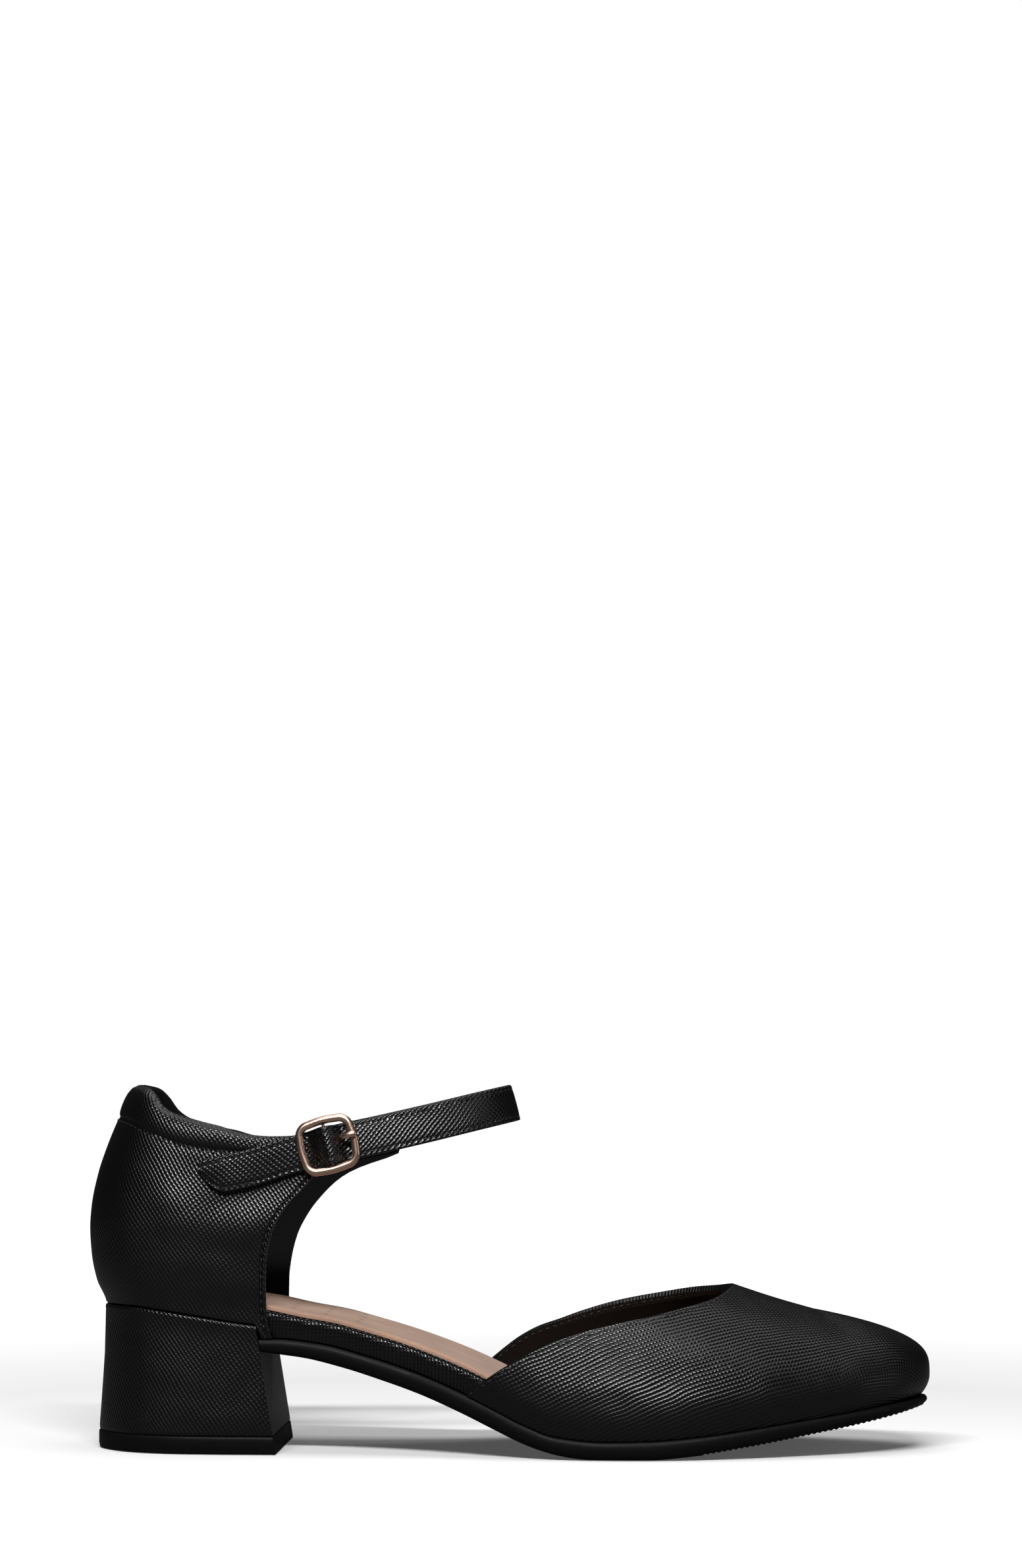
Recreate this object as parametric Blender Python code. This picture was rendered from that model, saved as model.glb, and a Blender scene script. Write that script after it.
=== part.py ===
"""Ankle strap pump, right shoe: closed toe, closed heel, open waist, block heel.

Frame: +X to the toe, +Y to the inner (medial) side, +Z up, floor at z = 0.
The tables and sizes below are in millimetres. Meshes are made in metres.
"""
import math

import bmesh
import bpy
import numpy as np
from mathutils import Vector

MM = 0.001
# Middle of the finished shoe's box, in the tables' x and y
CENTRE = (-0.8, -0.4)

# Driving dimensions
GAP = 0.3
UPPER_WALL = 1.8
HEEL_LIFT = 5.0
BREAST_X = -66.5
BREAST_SLOPE = 0.161
SOCK_THICK = 1.4
COLLAR_WALL = 4.2
STRAP_WIDTH = 10.8
STRAP_THICK = 1.2
STRAP_RAKE = math.radians(15.0)
STRAP_LEAN = 0.14
TAIL_X = -88.4
INNER_END_X = -54.0
BUCKLE_X = -51.4
BUCKLE_Z = 88.3
BUCKLE_TILT = STRAP_RAKE
BUCKLE_LONG = 17.2
BUCKLE_HIGH = 16.2
BUCKLE_CORNER = 4.3
WIRE_WIDE = 2.3
WIRE_DEEP = 1.9
BAR_RADIUS = 0.45
# Prong and its hole: height across the strap, distance along it, sizes
PRONG_V = 1.0
PRONG_WIDE = 1.7
PRONG_DEEP = 1.0
PRONG_EYE_WIDE = 1.8
PRONG_EYE_WALL = 0.6
PRONG_PLAY = 0.15
HOLE_P = 3.5
HOLE_RADIUS = 1.3
# Rise of the strap over the buckle's bar, and half its length
HUMP_RISE = 3.4
HUMP_HALF = 5.5
LOOP_WIDE = 8.0
LOOP_THICK = 0.5
# The heel seat ends here, and the pieces above it step down onto the outsole
SEAT_END_X = -72.1
SEAT_STEP = 0.7
HEEL_FRONT_X = -71.0
FAN_X = 88.0
APEX_X = 65.2
ROOF_SLOPE = 0.21
VAMP_REAR_LATERAL_X = -11.0
VAMP_REAR_MEDIAL_X = -13.0
# Share of a vamp rib that bulges out from the feather before it turns inward
BULGE_SHARE = 0.2

# Feather outline in plan, from the back of the heel round the toe: x, y
OUTLINE = (
    (-118.9, 0.0), (-116.6, -10.0), (-109.0, -19.6), (-98.0, -24.9), (-84.0, -26.6),
    (-69.0, -27.0), (-50.0, -27.8), (-30.0, -30.0), (-10.0, -34.2), (10.0, -38.2),
    (32.0, -40.4), (52.0, -38.8), (70.0, -34.4), (86.0, -28.2), (100.0, -21.5),
    (111.0, -12.8), (117.9, -2.8), (119.7, 5.2), (117.8, 13.6), (110.6, 22.8),
    (98.5, 30.2), (84.0, 35.4), (69.0, 38.5), (53.0, 39.4), (35.0, 37.6),
    (15.0, 33.0), (-5.0, 28.4), (-26.0, 25.6), (-46.0, 25.0), (-69.0, 26.2),
    (-84.0, 26.4), (-98.0, 24.7), (-109.0, 19.4), (-116.6, 10.0),
)

# Heights along the shoe: x, z
TREAD = ((-72.0, 29.4), (-64.6, 28.4), (-58.7, 27.6), (-47.3, 24.9), (-35.9, 21.4),
         (-24.6, 17.5), (-13.2, 12.7), (-1.8, 7.3), (3.8, 4.7), (9.4, 2.6), (15.0, 1.1),
         (20.0, 0.3), (24.0, 0.0), (41.0, 0.0), (52.0, 0.8), (69.0, 3.2), (87.0, 6.2),
         (106.0, 9.5), (123.0, 12.9))
FEATHER = ((-73.0, 32.7), (-67.6, 32.8), (-54.5, 31.5), (-39.7, 27.8), (-24.5, 22.9),
           (-13.1, 18.2), (-3.6, 13.7), (4.3, 9.8), (14.6, 6.2), (28.2, 5.0), (41.9, 5.3),
           (55.5, 6.4), (69.0, 8.1), (82.6, 10.0), (96.7, 11.9), (107.6, 13.5), (122.0, 15.3))
BOARD_TOP = ((-119.0, 47.4), (-100.0, 45.2), (-85.0, 43.0), (-68.5, 40.7), (-59.4, 38.8),
             (-49.7, 37.1), (-40.0, 34.5), (-30.2, 31.6), (-20.5, 28.2), (-10.9, 24.3),
             (-4.0, 21.0), (6.0, 15.8), (16.0, 11.6), (28.0, 9.4), (42.0, 9.4),
             (69.0, 12.3), (96.0, 16.2), (119.0, 19.6))
SEAT = ((-119.0, 41.9), (-110.0, 41.9), (-98.6, 40.7), (-89.1, 39.3), (-79.5, 37.8),
        (-72.0, 36.8))
RIDGE = ((-30.0, 84.0), (0.0, 72.5), (20.0, 64.5), (40.0, 56.6), (65.2, 47.4),
         (77.9, 43.2), (88.0, 40.3))
RIDGE_SIDE = ((-30.0, 0.0), (40.0, 1.5), (65.2, 3.0), (88.0, 4.5))

# Throat line of the vamp: x, z
THROAT_LATERAL = ((-11.0, 18.6), (-7.3, 21.2), (-0.9, 25.6), (5.4, 29.0), (14.5, 33.3),
                  (23.7, 36.2), (32.7, 38.3), (41.9, 40.1), (50.9, 42.2), (60.0, 44.6),
                  (65.2, 47.4))
THROAT_MEDIAL = ((-13.0, 19.2), (-7.5, 23.3), (-4.5, 25.8), (1.4, 30.2), (7.3, 33.3),
                 (13.2, 35.3), (19.2, 37.5), (31.0, 41.0), (42.8, 43.4), (54.7, 45.6),
                 (61.0, 46.4), (65.2, 47.4))

# Outward lean of the quarter from the feather: z, offset at the back, offset at the side
QUARTER_LEAN = ((32.0, -1.0, -0.3), (42.0, 0.0, 0.0), (48.6, 2.9, 0.7), (56.3, 4.5, 1.1),
                (64.1, 5.0, 1.0), (69.9, 4.6, 0.5), (79.5, 2.7, -0.8), (88.2, -0.2, -2.0),
                (96.2, -3.5, -3.0), (106.0, -7.9, -3.8))

# Collar rim and its lower seam: x, z on the outer side, z on the inner side
COLLAR_RIM = ((-111.0, 105.4, 105.4), (-107.0, 105.2, 104.6), (-104.0, 103.9, 102.6),
              (-101.3, 101.4, 99.6), (-97.8, 99.2, 97.0), (-94.9, 98.0, 95.6),
              (-88.2, 95.6, 93.2), (-83.2, 93.8, 91.6), (-78.3, 92.2, 90.2),
              (-73.5, 91.3, 89.5), (-68.5, 91.0, 89.4), (-61.8, 91.2, 90.2),
              (-50.0, 93.4, 93.0), (-35.0, 96.8, 96.6))
COLLAR_SEAM = ((-115.4, 96.2, 96.2), (-111.5, 95.4, 95.2), (-104.8, 92.5, 91.5),
               (-97.1, 89.5, 87.8), (-89.5, 88.0, 86.0), (-81.8, 87.0, 85.0),
               (-74.2, 86.6, 84.6), (-66.0, 87.2, 85.2), (-56.0, 89.4, 88.2),
               (-35.0, 93.6, 93.4))

# Front edges of the quarter: z, x
FRONT_LATERAL = ((33.0, -67.6), (36.5, -68.6), (40.9, -69.3), (46.1, -69.5), (55.4, -69.3),
                 (63.5, -67.7), (70.3, -64.2), (75.6, -59.5), (79.4, -56.2), (82.5, -55.2),
                 (88.0, -55.0), (93.6, -56.4))
FRONT_MEDIAL = ((33.0, -66.4), (37.0, -67.2), (42.1, -67.7), (47.8, -67.7), (52.7, -67.2),
                (60.2, -65.4), (66.7, -62.1), (72.4, -57.6), (77.9, -51.4), (81.2, -44.7),
                (83.2, -38.6), (85.2, -34.4), (90.0, -34.2), (96.8, -35.6))

# Ankle strap: its middle line from the outer side round the front to the inner side, x, y
STRAP_LOOP = ((-62.0, -26.7), (-50.0, -26.6), (-40.0, -25.4), (-28.0, -22.6), (-16.0, -18.0),
              (-6.0, -11.8), (-0.6, -4.8), (0.8, 1.0), (-2.0, 7.6), (-9.5, 14.2), (-20.0, 18.6),
              (-32.0, 20.3), (-44.0, 20.4), (-56.0, 20.6))
# Height of that middle line: x, z
STRAP_RISE = ((-89.0, 78.4), (-80.6, 80.4), (-73.3, 82.1), (-66.1, 84.4), (-61.7, 85.7),
              (-51.4, 88.35), (-40.0, 90.8), (-24.2, 94.4), (-8.4, 98.2), (2.0, 100.6))
# Tail of the strap: distance from its tip, lower edge, upper edge
TAIL_SHAPE = ((0.0, 2.2, 3.6), (0.8, 0.2, 5.1), (2.2, -2.4, 5.4), (4.0, -4.3, 5.4),
              (6.5, -5.3, 5.4), (10.0, -5.4, 5.4))


class Curve:
    """A smooth curve through hand-set rows that never overshoots them."""

    def __init__(self, rows, column=1):
        self.x = np.array([row[0] for row in rows], float)
        self.y = np.array([row[column] for row in rows], float)
        step = np.diff(self.x)
        rise = np.diff(self.y) / step
        slope = np.zeros(len(rows))
        slope[0], slope[-1] = rise[0], rise[-1]
        for i in range(1, len(rows) - 1):
            if rise[i - 1] * rise[i] > 0:
                near = 2 * step[i] + step[i - 1]
                far = step[i] + 2 * step[i - 1]
                slope[i] = (near + far) / (near / rise[i - 1] + far / rise[i])
        self.slope = slope

    def __call__(self, x):
        x = min(max(x, self.x[0]), self.x[-1])
        i = min(int(np.searchsorted(self.x, x, side="right")) - 1, len(self.x) - 2)
        step = self.x[i + 1] - self.x[i]
        t = (x - self.x[i]) / step
        a = self.y[i] * (1 + 2 * t) * (1 - t) ** 2
        b = self.slope[i] * step * t * (1 - t) ** 2
        c = self.y[i + 1] * t * t * (3 - 2 * t)
        d = self.slope[i + 1] * step * t * t * (t - 1)
        return a + b + c + d


def through(p0, p1, p2, p3, t):
    """Point at share t between p1 and p2, on a smooth curve through all four."""
    return 0.5 * (2 * p1 + (p2 - p0) * t
                  + (2 * p0 - 5 * p1 + 4 * p2 - p3) * t ** 2
                  + (3 * p1 - p0 - 3 * p2 + p3) * t ** 3)


class Outline:
    """The feather outline, walked by distance from the back of the heel."""

    STEPS = 24

    def __init__(self, points):
        points = np.array(points, float)
        count = len(points)
        walk = []
        for i in range(count):
            p0, p1, p2, p3 = (points[(i + k) % count] for k in (-1, 0, 1, 2))
            for t in np.arange(self.STEPS) / self.STEPS:
                walk.append(through(p0, p1, p2, p3, t))
        walk.append(walk[0])
        self.points = np.array(walk)
        pieces = np.linalg.norm(np.diff(self.points, axis=0), axis=1)
        self.distance = np.concatenate([[0], np.cumsum(pieces)])
        self.length = self.distance[-1]
        self.toe = self.distance[int(np.argmax(self.points[:, 0]))]

    def point(self, side, walked, out=0.0):
        """Point and outward normal at a distance walked on the side -1 or +1."""
        s = walked if side < 0 else self.length - walked
        s = s % self.length
        here = np.array([np.interp(s, self.distance, self.points[:, k]) for k in (0, 1)])
        ahead = [np.interp((s + 0.6) % self.length, self.distance, self.points[:, k])
                 - np.interp((s - 0.6) % self.length, self.distance, self.points[:, k])
                 for k in (0, 1)]
        normal = np.array([ahead[1], -ahead[0]])
        normal /= np.linalg.norm(normal)
        return here + normal * out, normal

    def reach(self, side):
        """Distance from the heel's back to the toe on one side."""
        return self.toe if side < 0 else self.length - self.toe

    def at_x(self, side, x):
        """Distance walked on one side to the place with this x."""
        low, high = 0.0, self.reach(side)
        for _ in range(40):
            middle = 0.5 * (low + high)
            if self.point(side, middle)[0][0] < x:
                low = middle
            else:
                high = middle
        return 0.5 * (low + high)


outline = Outline(OUTLINE)
tread = Curve(TREAD)
feather = Curve(FEATHER)
board_top = Curve(BOARD_TOP)
seat = Curve(SEAT)
ridge = Curve(RIDGE)
ridge_side = Curve(RIDGE_SIDE)
throat = {-1: Curve(THROAT_LATERAL), 1: Curve(THROAT_MEDIAL)}
lean_back = Curve(QUARTER_LEAN, 1)
lean_side = Curve(QUARTER_LEAN, 2)
collar_rim = {-1: Curve(COLLAR_RIM, 1), 1: Curve(COLLAR_RIM, 2)}
collar_seam = {-1: Curve(COLLAR_SEAM, 1), 1: Curve(COLLAR_SEAM, 2)}
front_edge = {-1: Curve(FRONT_LATERAL), 1: Curve(FRONT_MEDIAL)}
strap_rise = Curve(STRAP_RISE)
tail_low = Curve(TAIL_SHAPE, 1)
tail_high = Curve(TAIL_SHAPE, 2)


def blend(low, high, x):
    """Smooth step from 0 at low to 1 at high."""
    t = min(max((x - low) / (high - low), 0.0), 1.0)
    return t * t * (3 - 2 * t)


def material(name, colour, roughness, metallic=0.0):
    """Principled material of one piece."""
    made = bpy.data.materials.new(name)
    made.use_nodes = True
    shader = made.node_tree.nodes["Principled BSDF"]
    shader.inputs["Base Color"].default_value = (*colour, 1.0)
    shader.inputs["Roughness"].default_value = roughness
    shader.inputs["Metallic"].default_value = metallic
    return made


def body(name, points, faces, look, smooth_angle=40.0):
    """Object of one closed body from points in millimetres."""
    mesh = bpy.data.meshes.new(name)
    middle = Vector((*CENTRE, 0.0))
    mesh.from_pydata([(Vector(p) - middle) * MM for p in points], [], faces)
    shape = bmesh.new()
    shape.from_mesh(mesh)
    bmesh.ops.remove_doubles(shape, verts=shape.verts, dist=0.00001)
    bmesh.ops.dissolve_degenerate(shape, edges=shape.edges, dist=0.00001)
    bmesh.ops.recalc_face_normals(shape, faces=shape.faces)
    shape.to_mesh(mesh)
    shape.free()
    mesh.shade_smooth()
    mesh.set_sharp_from_angle(angle=math.radians(smooth_angle))
    mesh.materials.append(look)
    made = bpy.data.objects.new(name, mesh)
    bpy.context.collection.objects.link(made)
    return made


def loft(name, rings, look, smooth_angle=40.0):
    """Closed body through rings of points, capped at both ends."""
    count = len(rings[0])
    points = [p for ring in rings for p in ring]
    faces = []
    for k in range(len(rings) - 1):
        for j in range(count):
            a, b = k * count + j, k * count + (j + 1) % count
            faces.append((a, b, b + count, a + count))
    faces.append(tuple(range(count)))
    faces.append(tuple(range(len(points) - count, len(points))))
    return body(name, points, faces, look, smooth_angle)


def thicken(name, outer, inner, look):
    """Closed wall between two grids of points. Points that meet in outer are one."""
    found = {}
    points = []
    inside = []
    index = []
    for outer_row, inner_row in zip(outer, inner):
        row = []
        for p, q in zip(outer_row, inner_row):
            key = tuple(round(float(v), 3) for v in p)
            if key not in found:
                found[key] = len(points)
                points.append(p)
                inside.append(q)
            row.append(found[key])
        index.append(row)
    faces = []
    uses = {}
    for k in range(len(index) - 1):
        for j in range(len(index[0]) - 1):
            face = [index[k][j], index[k][j + 1], index[k + 1][j + 1], index[k + 1][j]]
            face = [v for i, v in enumerate(face) if v != face[i - 1]]
            if len(set(face)) < 3:
                continue
            faces.append(tuple(face))
            for i, v in enumerate(face):
                pair = frozenset((v, face[i - 1]))
                uses[pair] = uses.get(pair, 0) + 1
    skin = len(points)
    walls = [tuple(v + skin for v in face) for face in faces]
    rims = [(a, b, b + skin, a + skin) for (a, b) in
            (tuple(pair) for pair, times in uses.items() if times == 1)]
    return body(name, points + inside, faces + walls + rims, look)


def slab(name, stations, low, high, edge, across, look, breast=None):
    """Layer across the shoe at the stations in x. low and high give z at x. The rows of edge,
    from its top to its bottom, are its inset at the side, back and toe, and share of height.
    With breast, the last station follows the heel's front face at that distance before it."""
    rings = []
    for x_station in stations:
        rim = {}
        for side in (-1, 1):
            here, normal = outline.point(side, outline.at_x(side, x_station))
            back = max(0.0, -normal[0]) ** 2
            toe = max(0.0, normal[0]) ** 2
            rim[side] = []
            for at_side, at_back, at_toe, share in edge:
                inset = at_side + (at_back - at_side) * back + (at_toe - at_side) * toe
                x, y = here - normal * inset
                z = low(x) + (high(x) - low(x)) * share
                if breast is not None and x_station == stations[-1]:
                    x = breast_x(z) + breast
                rim[side].append((x, y, z))
        ring = []
        for share in np.linspace(0, 1, across + 1):
            ring.append(tuple(np.array(rim[-1][0]) * (1 - share) + np.array(rim[1][0]) * share))
        ring += rim[1][1:-1]
        for share in np.linspace(1, 0, across + 1):
            ring.append(tuple(np.array(rim[-1][-1]) * (1 - share)
                              + np.array(rim[1][-1]) * share))
        ring += rim[-1][-2:0:-1]
        rings.append(ring)
    return loft(name, rings, look)


def spread(start, stop, count, dense):
    """Places from start to stop, closer together at the dense end, first or last."""
    places = []
    for k in range(count + 1):
        turn = 0.5 * math.pi * k / count
        share = math.sin(turn) if dense == "last" else 1 - math.cos(turn)
        places.append(start + (stop - start) * share)
    return places


def breast_x(z):
    """The heel's front face at height z."""
    return BREAST_X - BREAST_SLOPE * z


HEEL_BACK_X = OUTLINE[0][0]
TOE_X = float(outline.points[:, 0].max())


def make_outsole(look):
    """Rubber sole from the heel's front face to the toe, with a thin lip at the toe."""
    edge = ((-0.2, -0.2, -1.5, 1.0), (-0.5, -0.5, -1.9, 0.65), (-0.2, -0.2, -1.5, 0.25),
            (1.0, 1.0, 0.2, 0.0))
    stations = [HEEL_FRONT_X] + spread(-64.0, TOE_X, 30, "last")
    return slab("outsole", stations[::-1], tread, feather, edge, 4, look, breast=GAP)


def board_low(x):
    """Underside of the insole board: on the heel, then on the outsole."""
    on_heel = x < SEAT_END_X + 0.5 * SEAT_STEP
    return seat(x) + GAP if on_heel else feather(x) + GAP


def make_insole_board(look):
    """Covered insole board. Its edge shows between the quarter and the vamp."""
    edge = ((2.7, 2.7, 2.7, 1.0), (2.2, 2.2, 2.2, 0.85), (2.2, 2.2, 2.2, 0.0))
    stations = spread(HEEL_BACK_X, -76.0, 9, "first") + [SEAT_END_X, SEAT_END_X + SEAT_STEP]
    stations += spread(-64.0, TOE_X, 24, "last")
    return slab("insole_board", stations, board_low, board_top, edge, 2, look)


def make_sock(look):
    """Suede-covered footbed on the board."""
    edge = ((3.6, 3.6, 3.6, 1.0), (3.1, 3.1, 3.1, 0.6), (3.1, 3.1, 3.1, 0.0))
    stations = spread(HEEL_BACK_X, -64.0, 12, "first") + spread(-56.0, TOE_X, 22, "last")
    return slab("sock", stations, lambda x: board_top(x) + GAP,
                lambda x: board_top(x) + GAP + SOCK_THICK, edge, 4, look)


def make_heel_block(look):
    """Covered block heel, flared to the floor, its front face leaning back."""
    edge = ((0.6, 0.7, 0.6, 1.0), (0.3, 0.4, 0.3, 0.975), (-0.7, -1.9, -0.7, 0.0))
    return slab("heel_block", spread(HEEL_BACK_X, HEEL_FRONT_X, 14, "first"),
                lambda x: HEEL_LIFT + GAP, seat, edge, 4, look, breast=0.0)


def make_heel_top_piece(look):
    """Rubber wear piece under the heel, flat on the floor."""
    edge = ((-0.8, -2.0, -0.8, 1.0), (-0.8, -2.0, -0.8, 0.12), (-0.4, -1.6, -0.4, 0.0))
    return slab("heel_top_piece", spread(HEEL_BACK_X, HEEL_FRONT_X, 14, "first"),
                lambda x: 0.0, lambda x: HEEL_LIFT, edge, 3, look, breast=0.0)


def rib(side, foot, anchor_x):
    """One rib of the vamp from the feather up to the ridge: point at share w from 0 to 1."""
    start, _ = outline.point(side, foot)
    anchor = np.array([anchor_x, ridge_side(anchor_x)])
    reach = np.linalg.norm(anchor - start)
    inward = (anchor - start) / reach
    ahead = max(0.0, -inward[0])
    bulge = 1.7 + 1.0 * ahead ** 2
    rise = 8.5 - 2.5 * ahead ** 2
    power = 1.85 + 1.65 * ahead ** 4
    roof_slope = ROOF_SLOPE * ahead
    base_z = feather(start[0]) + GAP
    equator_z = base_z + rise
    top_z = ridge(anchor_x)

    def at(w):
        if w < BULGE_SHARE:
            t = w / BULGE_SHARE
            along = -bulge * (1 - (1 - t) ** 2)
            z = base_z + rise * t
        else:
            turn = 0.5 * math.pi * min((w - BULGE_SHARE) / (1 - BULGE_SHARE), 1.0)
            along = (reach + bulge) * (1 - max(math.cos(turn), 0.0) ** (2 / power)) - bulge
            roof = top_z - roof_slope * (reach - along)
            z = equator_z + (roof - equator_z) * math.sin(turn) ** (2 / power)
        x, y = start + inward * along
        return np.array([x, y, z])

    return at


def vamp_ribs(side):
    """Foot distance and ridge anchor of each rib, from the throat's rear corner to the toe."""
    rear = VAMP_REAR_LATERAL_X if side < 0 else VAMP_REAR_MEDIAL_X
    anchors = (-12.0, -6.0, 0.0, 8.0, 17.0, 27.0, 37.0, 46.0, 53.0, 58.0, 61.5, 64.0,
               APEX_X, 70.0, 76.0, 82.0, FAN_X)
    ribs = []
    for anchor in anchors:
        share = (anchor - anchors[0]) / (FAN_X - anchors[0])
        foot_x = anchor + 7.0 * share ** 2 + (rear - anchors[0]) * max(0.0, 1 - 2 * share)
        ribs.append((outline.at_x(side, foot_x), anchor))
    last = ribs[-1][0]
    fan = 9
    for k in range(1, fan + 1):
        ribs.append((last + (outline.reach(side) - last) * k / fan, FAN_X))
    return ribs


def make_vamp(look):
    """Closed toe of the upper: a hollow wall over the forefoot, open at the throat and below."""
    rows = 11
    grid = []
    for side in (-1, 1):
        part = []
        for foot, anchor in vamp_ribs(side):
            at = rib(side, foot, anchor)
            top = 1.0
            if anchor < APEX_X:
                low, high = 0.0, 1.0
                for _ in range(30):
                    top = 0.5 * (low + high)
                    x, _, z = at(top)
                    if z < throat[side](x):
                        low = top
                    else:
                        high = top
            part.append([at(top * j / rows) for j in range(rows + 1)])
        grid.append(part)
    outer = grid[0] + grid[1][-2::-1]
    inner = inward_grid(outer, UPPER_WALL)
    return thicken("vamp", outer, inner, look)


def inward_grid(grid, wall):
    """The grid moved in by the wall, along normals averaged where points meet."""
    sums = {}
    rows, columns = len(grid), len(grid[0])
    for k in range(rows - 1):
        for j in range(columns - 1):
            a, b, c, d = grid[k][j], grid[k][j + 1], grid[k + 1][j + 1], grid[k + 1][j]
            normal = np.cross(c - a, d - b)
            for p in (a, b, c, d):
                key = tuple(round(float(v), 3) for v in p)
                sums[key] = sums.get(key, np.zeros(3)) + normal
    moved = []
    for row in grid:
        line = []
        for p in row:
            normal = sums[tuple(round(float(v), 3) for v in p)]
            line.append(p + normal / np.linalg.norm(normal) * wall)
        moved.append(line)
    return moved


def quarter_point(side, walked, z, out=0.0):
    """Outer face of the quarter at a distance walked from the back, at height z."""
    here, normal = outline.point(side, walked)
    back = max(0.0, -normal[0]) ** 2
    lean = lean_side(z) + (lean_back(z) - lean_side(z)) * back
    x, y = here + normal * (lean + out)
    return np.array([x, y, z])


def quarter_base(x):
    """Lower edge of the quarter: on the heel, then down to the outsole in front of it."""
    drop = min(max((x - SEAT_END_X) / SEAT_STEP, 0.0), 1.0)
    return (seat(x) + GAP) * (1 - drop) + (feather(x) + GAP) * drop


def level(side, share, height, low=32.8, high=112.0):
    """Height where the column at this share of the way to the front edge meets height(x)."""
    for _ in range(30):
        z = 0.5 * (low + high)
        walked = share * outline.at_x(side, front_edge[side](z))
        x = quarter_point(side, walked, z)[0]
        if z < height(x):
            low = z
        else:
            high = z
    return 0.5 * (low + high)


def make_quarter(look):
    """Closed back of the upper: one hollow wall round the heel with a padded collar band."""
    body_rows, round_columns = 8, 16
    front_stations = (-79.0, -75.0, SEAT_END_X - 0.02, SEAT_END_X + SEAT_STEP + 0.02, -69.4)
    shares = {}
    for side in (-1, 1):
        front = outline.at_x(side, front_edge[side](33.0))
        last = [outline.at_x(side, x) / front for x in front_stations]
        shares[side] = [k / round_columns * last[0] for k in range(round_columns + 1)]
        shares[side] += last[1:] + [1.0]
    columns = [(-1, s) for s in shares[-1][::-1]] + [(1, s) for s in shares[1][1:]]
    outer, inner = [], []
    for side, share in columns:
        base = level(side, share, quarter_base)
        seam = level(side, share, collar_seam[side], 50.0)
        rim = level(side, share, collar_rim[side], 60.0)
        outer_row, inner_row = [], []
        places = [(base + (seam - base) * j / body_rows, None) for j in range(body_rows + 1)]
        places += [(seam + (rim - seam) * t, t) for t in (0.15, 0.45, 0.75, 0.93, 1.0)]
        for z, band in places:
            walked = share * outline.at_x(side, front_edge[side](z))
            x = quarter_point(side, walked, z)[0]
            padded = 1.0 - blend(-76.0, -60.0, x)
            wall = UPPER_WALL
            puff = rounded = 0.0
            if band is not None:
                wall += (COLLAR_WALL - UPPER_WALL) * padded * blend(0.0, 0.4, band)
                puff = 0.7 * math.sin(math.pi * band) * (1.0 - blend(-88.0, -76.0, x))
                rounded = (0.4 * blend(0.7, 0.93, band) + 1.1 * blend(0.9, 1.0, band)) * padded
            outer_row.append(quarter_point(side, walked, z, puff - rounded))
            inner_row.append(quarter_point(side, walked, z, rounded - wall))
        outer.append(outer_row)
        inner.append(inner_row)
    return thicken("quarter", outer, inner, look)


def beside_quarter(side, x, z, out):
    """y at a distance out from the quarter's outer face."""
    here, _ = outline.point(side, outline.at_x(side, x))
    return here[1] + side * (lean_side(z) + out)


def strap_path():
    """Middle line of the strap as x, y from the tail on the outer side to its inner end."""
    start_y = STRAP_LOOP[0][1]
    line = [(TAIL_X + row[0], start_y) for row in TAIL_SHAPE] + [(-74.0, start_y), (-69.0, start_y)]
    points = np.array(STRAP_LOOP)
    walk = []
    for i in range(len(points) - 1):
        p1, p2 = points[i], points[i + 1]
        p0 = points[i - 1] if i else 2 * p1 - p2
        p3 = points[i + 2] if i + 2 < len(points) else 2 * p2 - p1
        steps = 8 if i < 2 else 4
        for t in np.arange(steps) / steps:
            walk.append(through(p0, p1, p2, p3, t))
    line += [tuple(p) for p in walk if p[1] < 0 or p[0] > INNER_END_X]
    line.append((INNER_END_X, STRAP_LOOP[-1][1]))
    return line


def buckle_hump(x):
    """How far the strap stands out where it passes over the buckle's bar."""
    along = (x - BUCKLE_X) / math.cos(BUCKLE_TILT)
    if abs(along) > HUMP_HALF:
        return 0.0
    return HUMP_RISE * math.cos(0.5 * math.pi * along / HUMP_HALF) ** 2


def strap_point(x, y, v):
    """Point of the strap's middle layer, v across its width."""
    px = x - math.sin(STRAP_RAKE) * v
    z = strap_rise(x) + math.cos(STRAP_RAKE) * v
    side = -1 if y < 0 else 1
    loop_y = y - side * STRAP_LEAN * v * min(1.0, abs(y) / 15.0)
    middle = 0.5 * STRAP_THICK + GAP
    if side < 0:
        free = blend(-58.0, -50.0, x)
        held_y = beside_quarter(-1, px, z, middle)
    else:
        free = blend(-36.0, -28.0, x)
        held_y = beside_quarter(1, px, z, -UPPER_WALL - middle)
    y_here = held_y * (1 - free) + loop_y * free
    return np.array([px, y_here, z])


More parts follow.
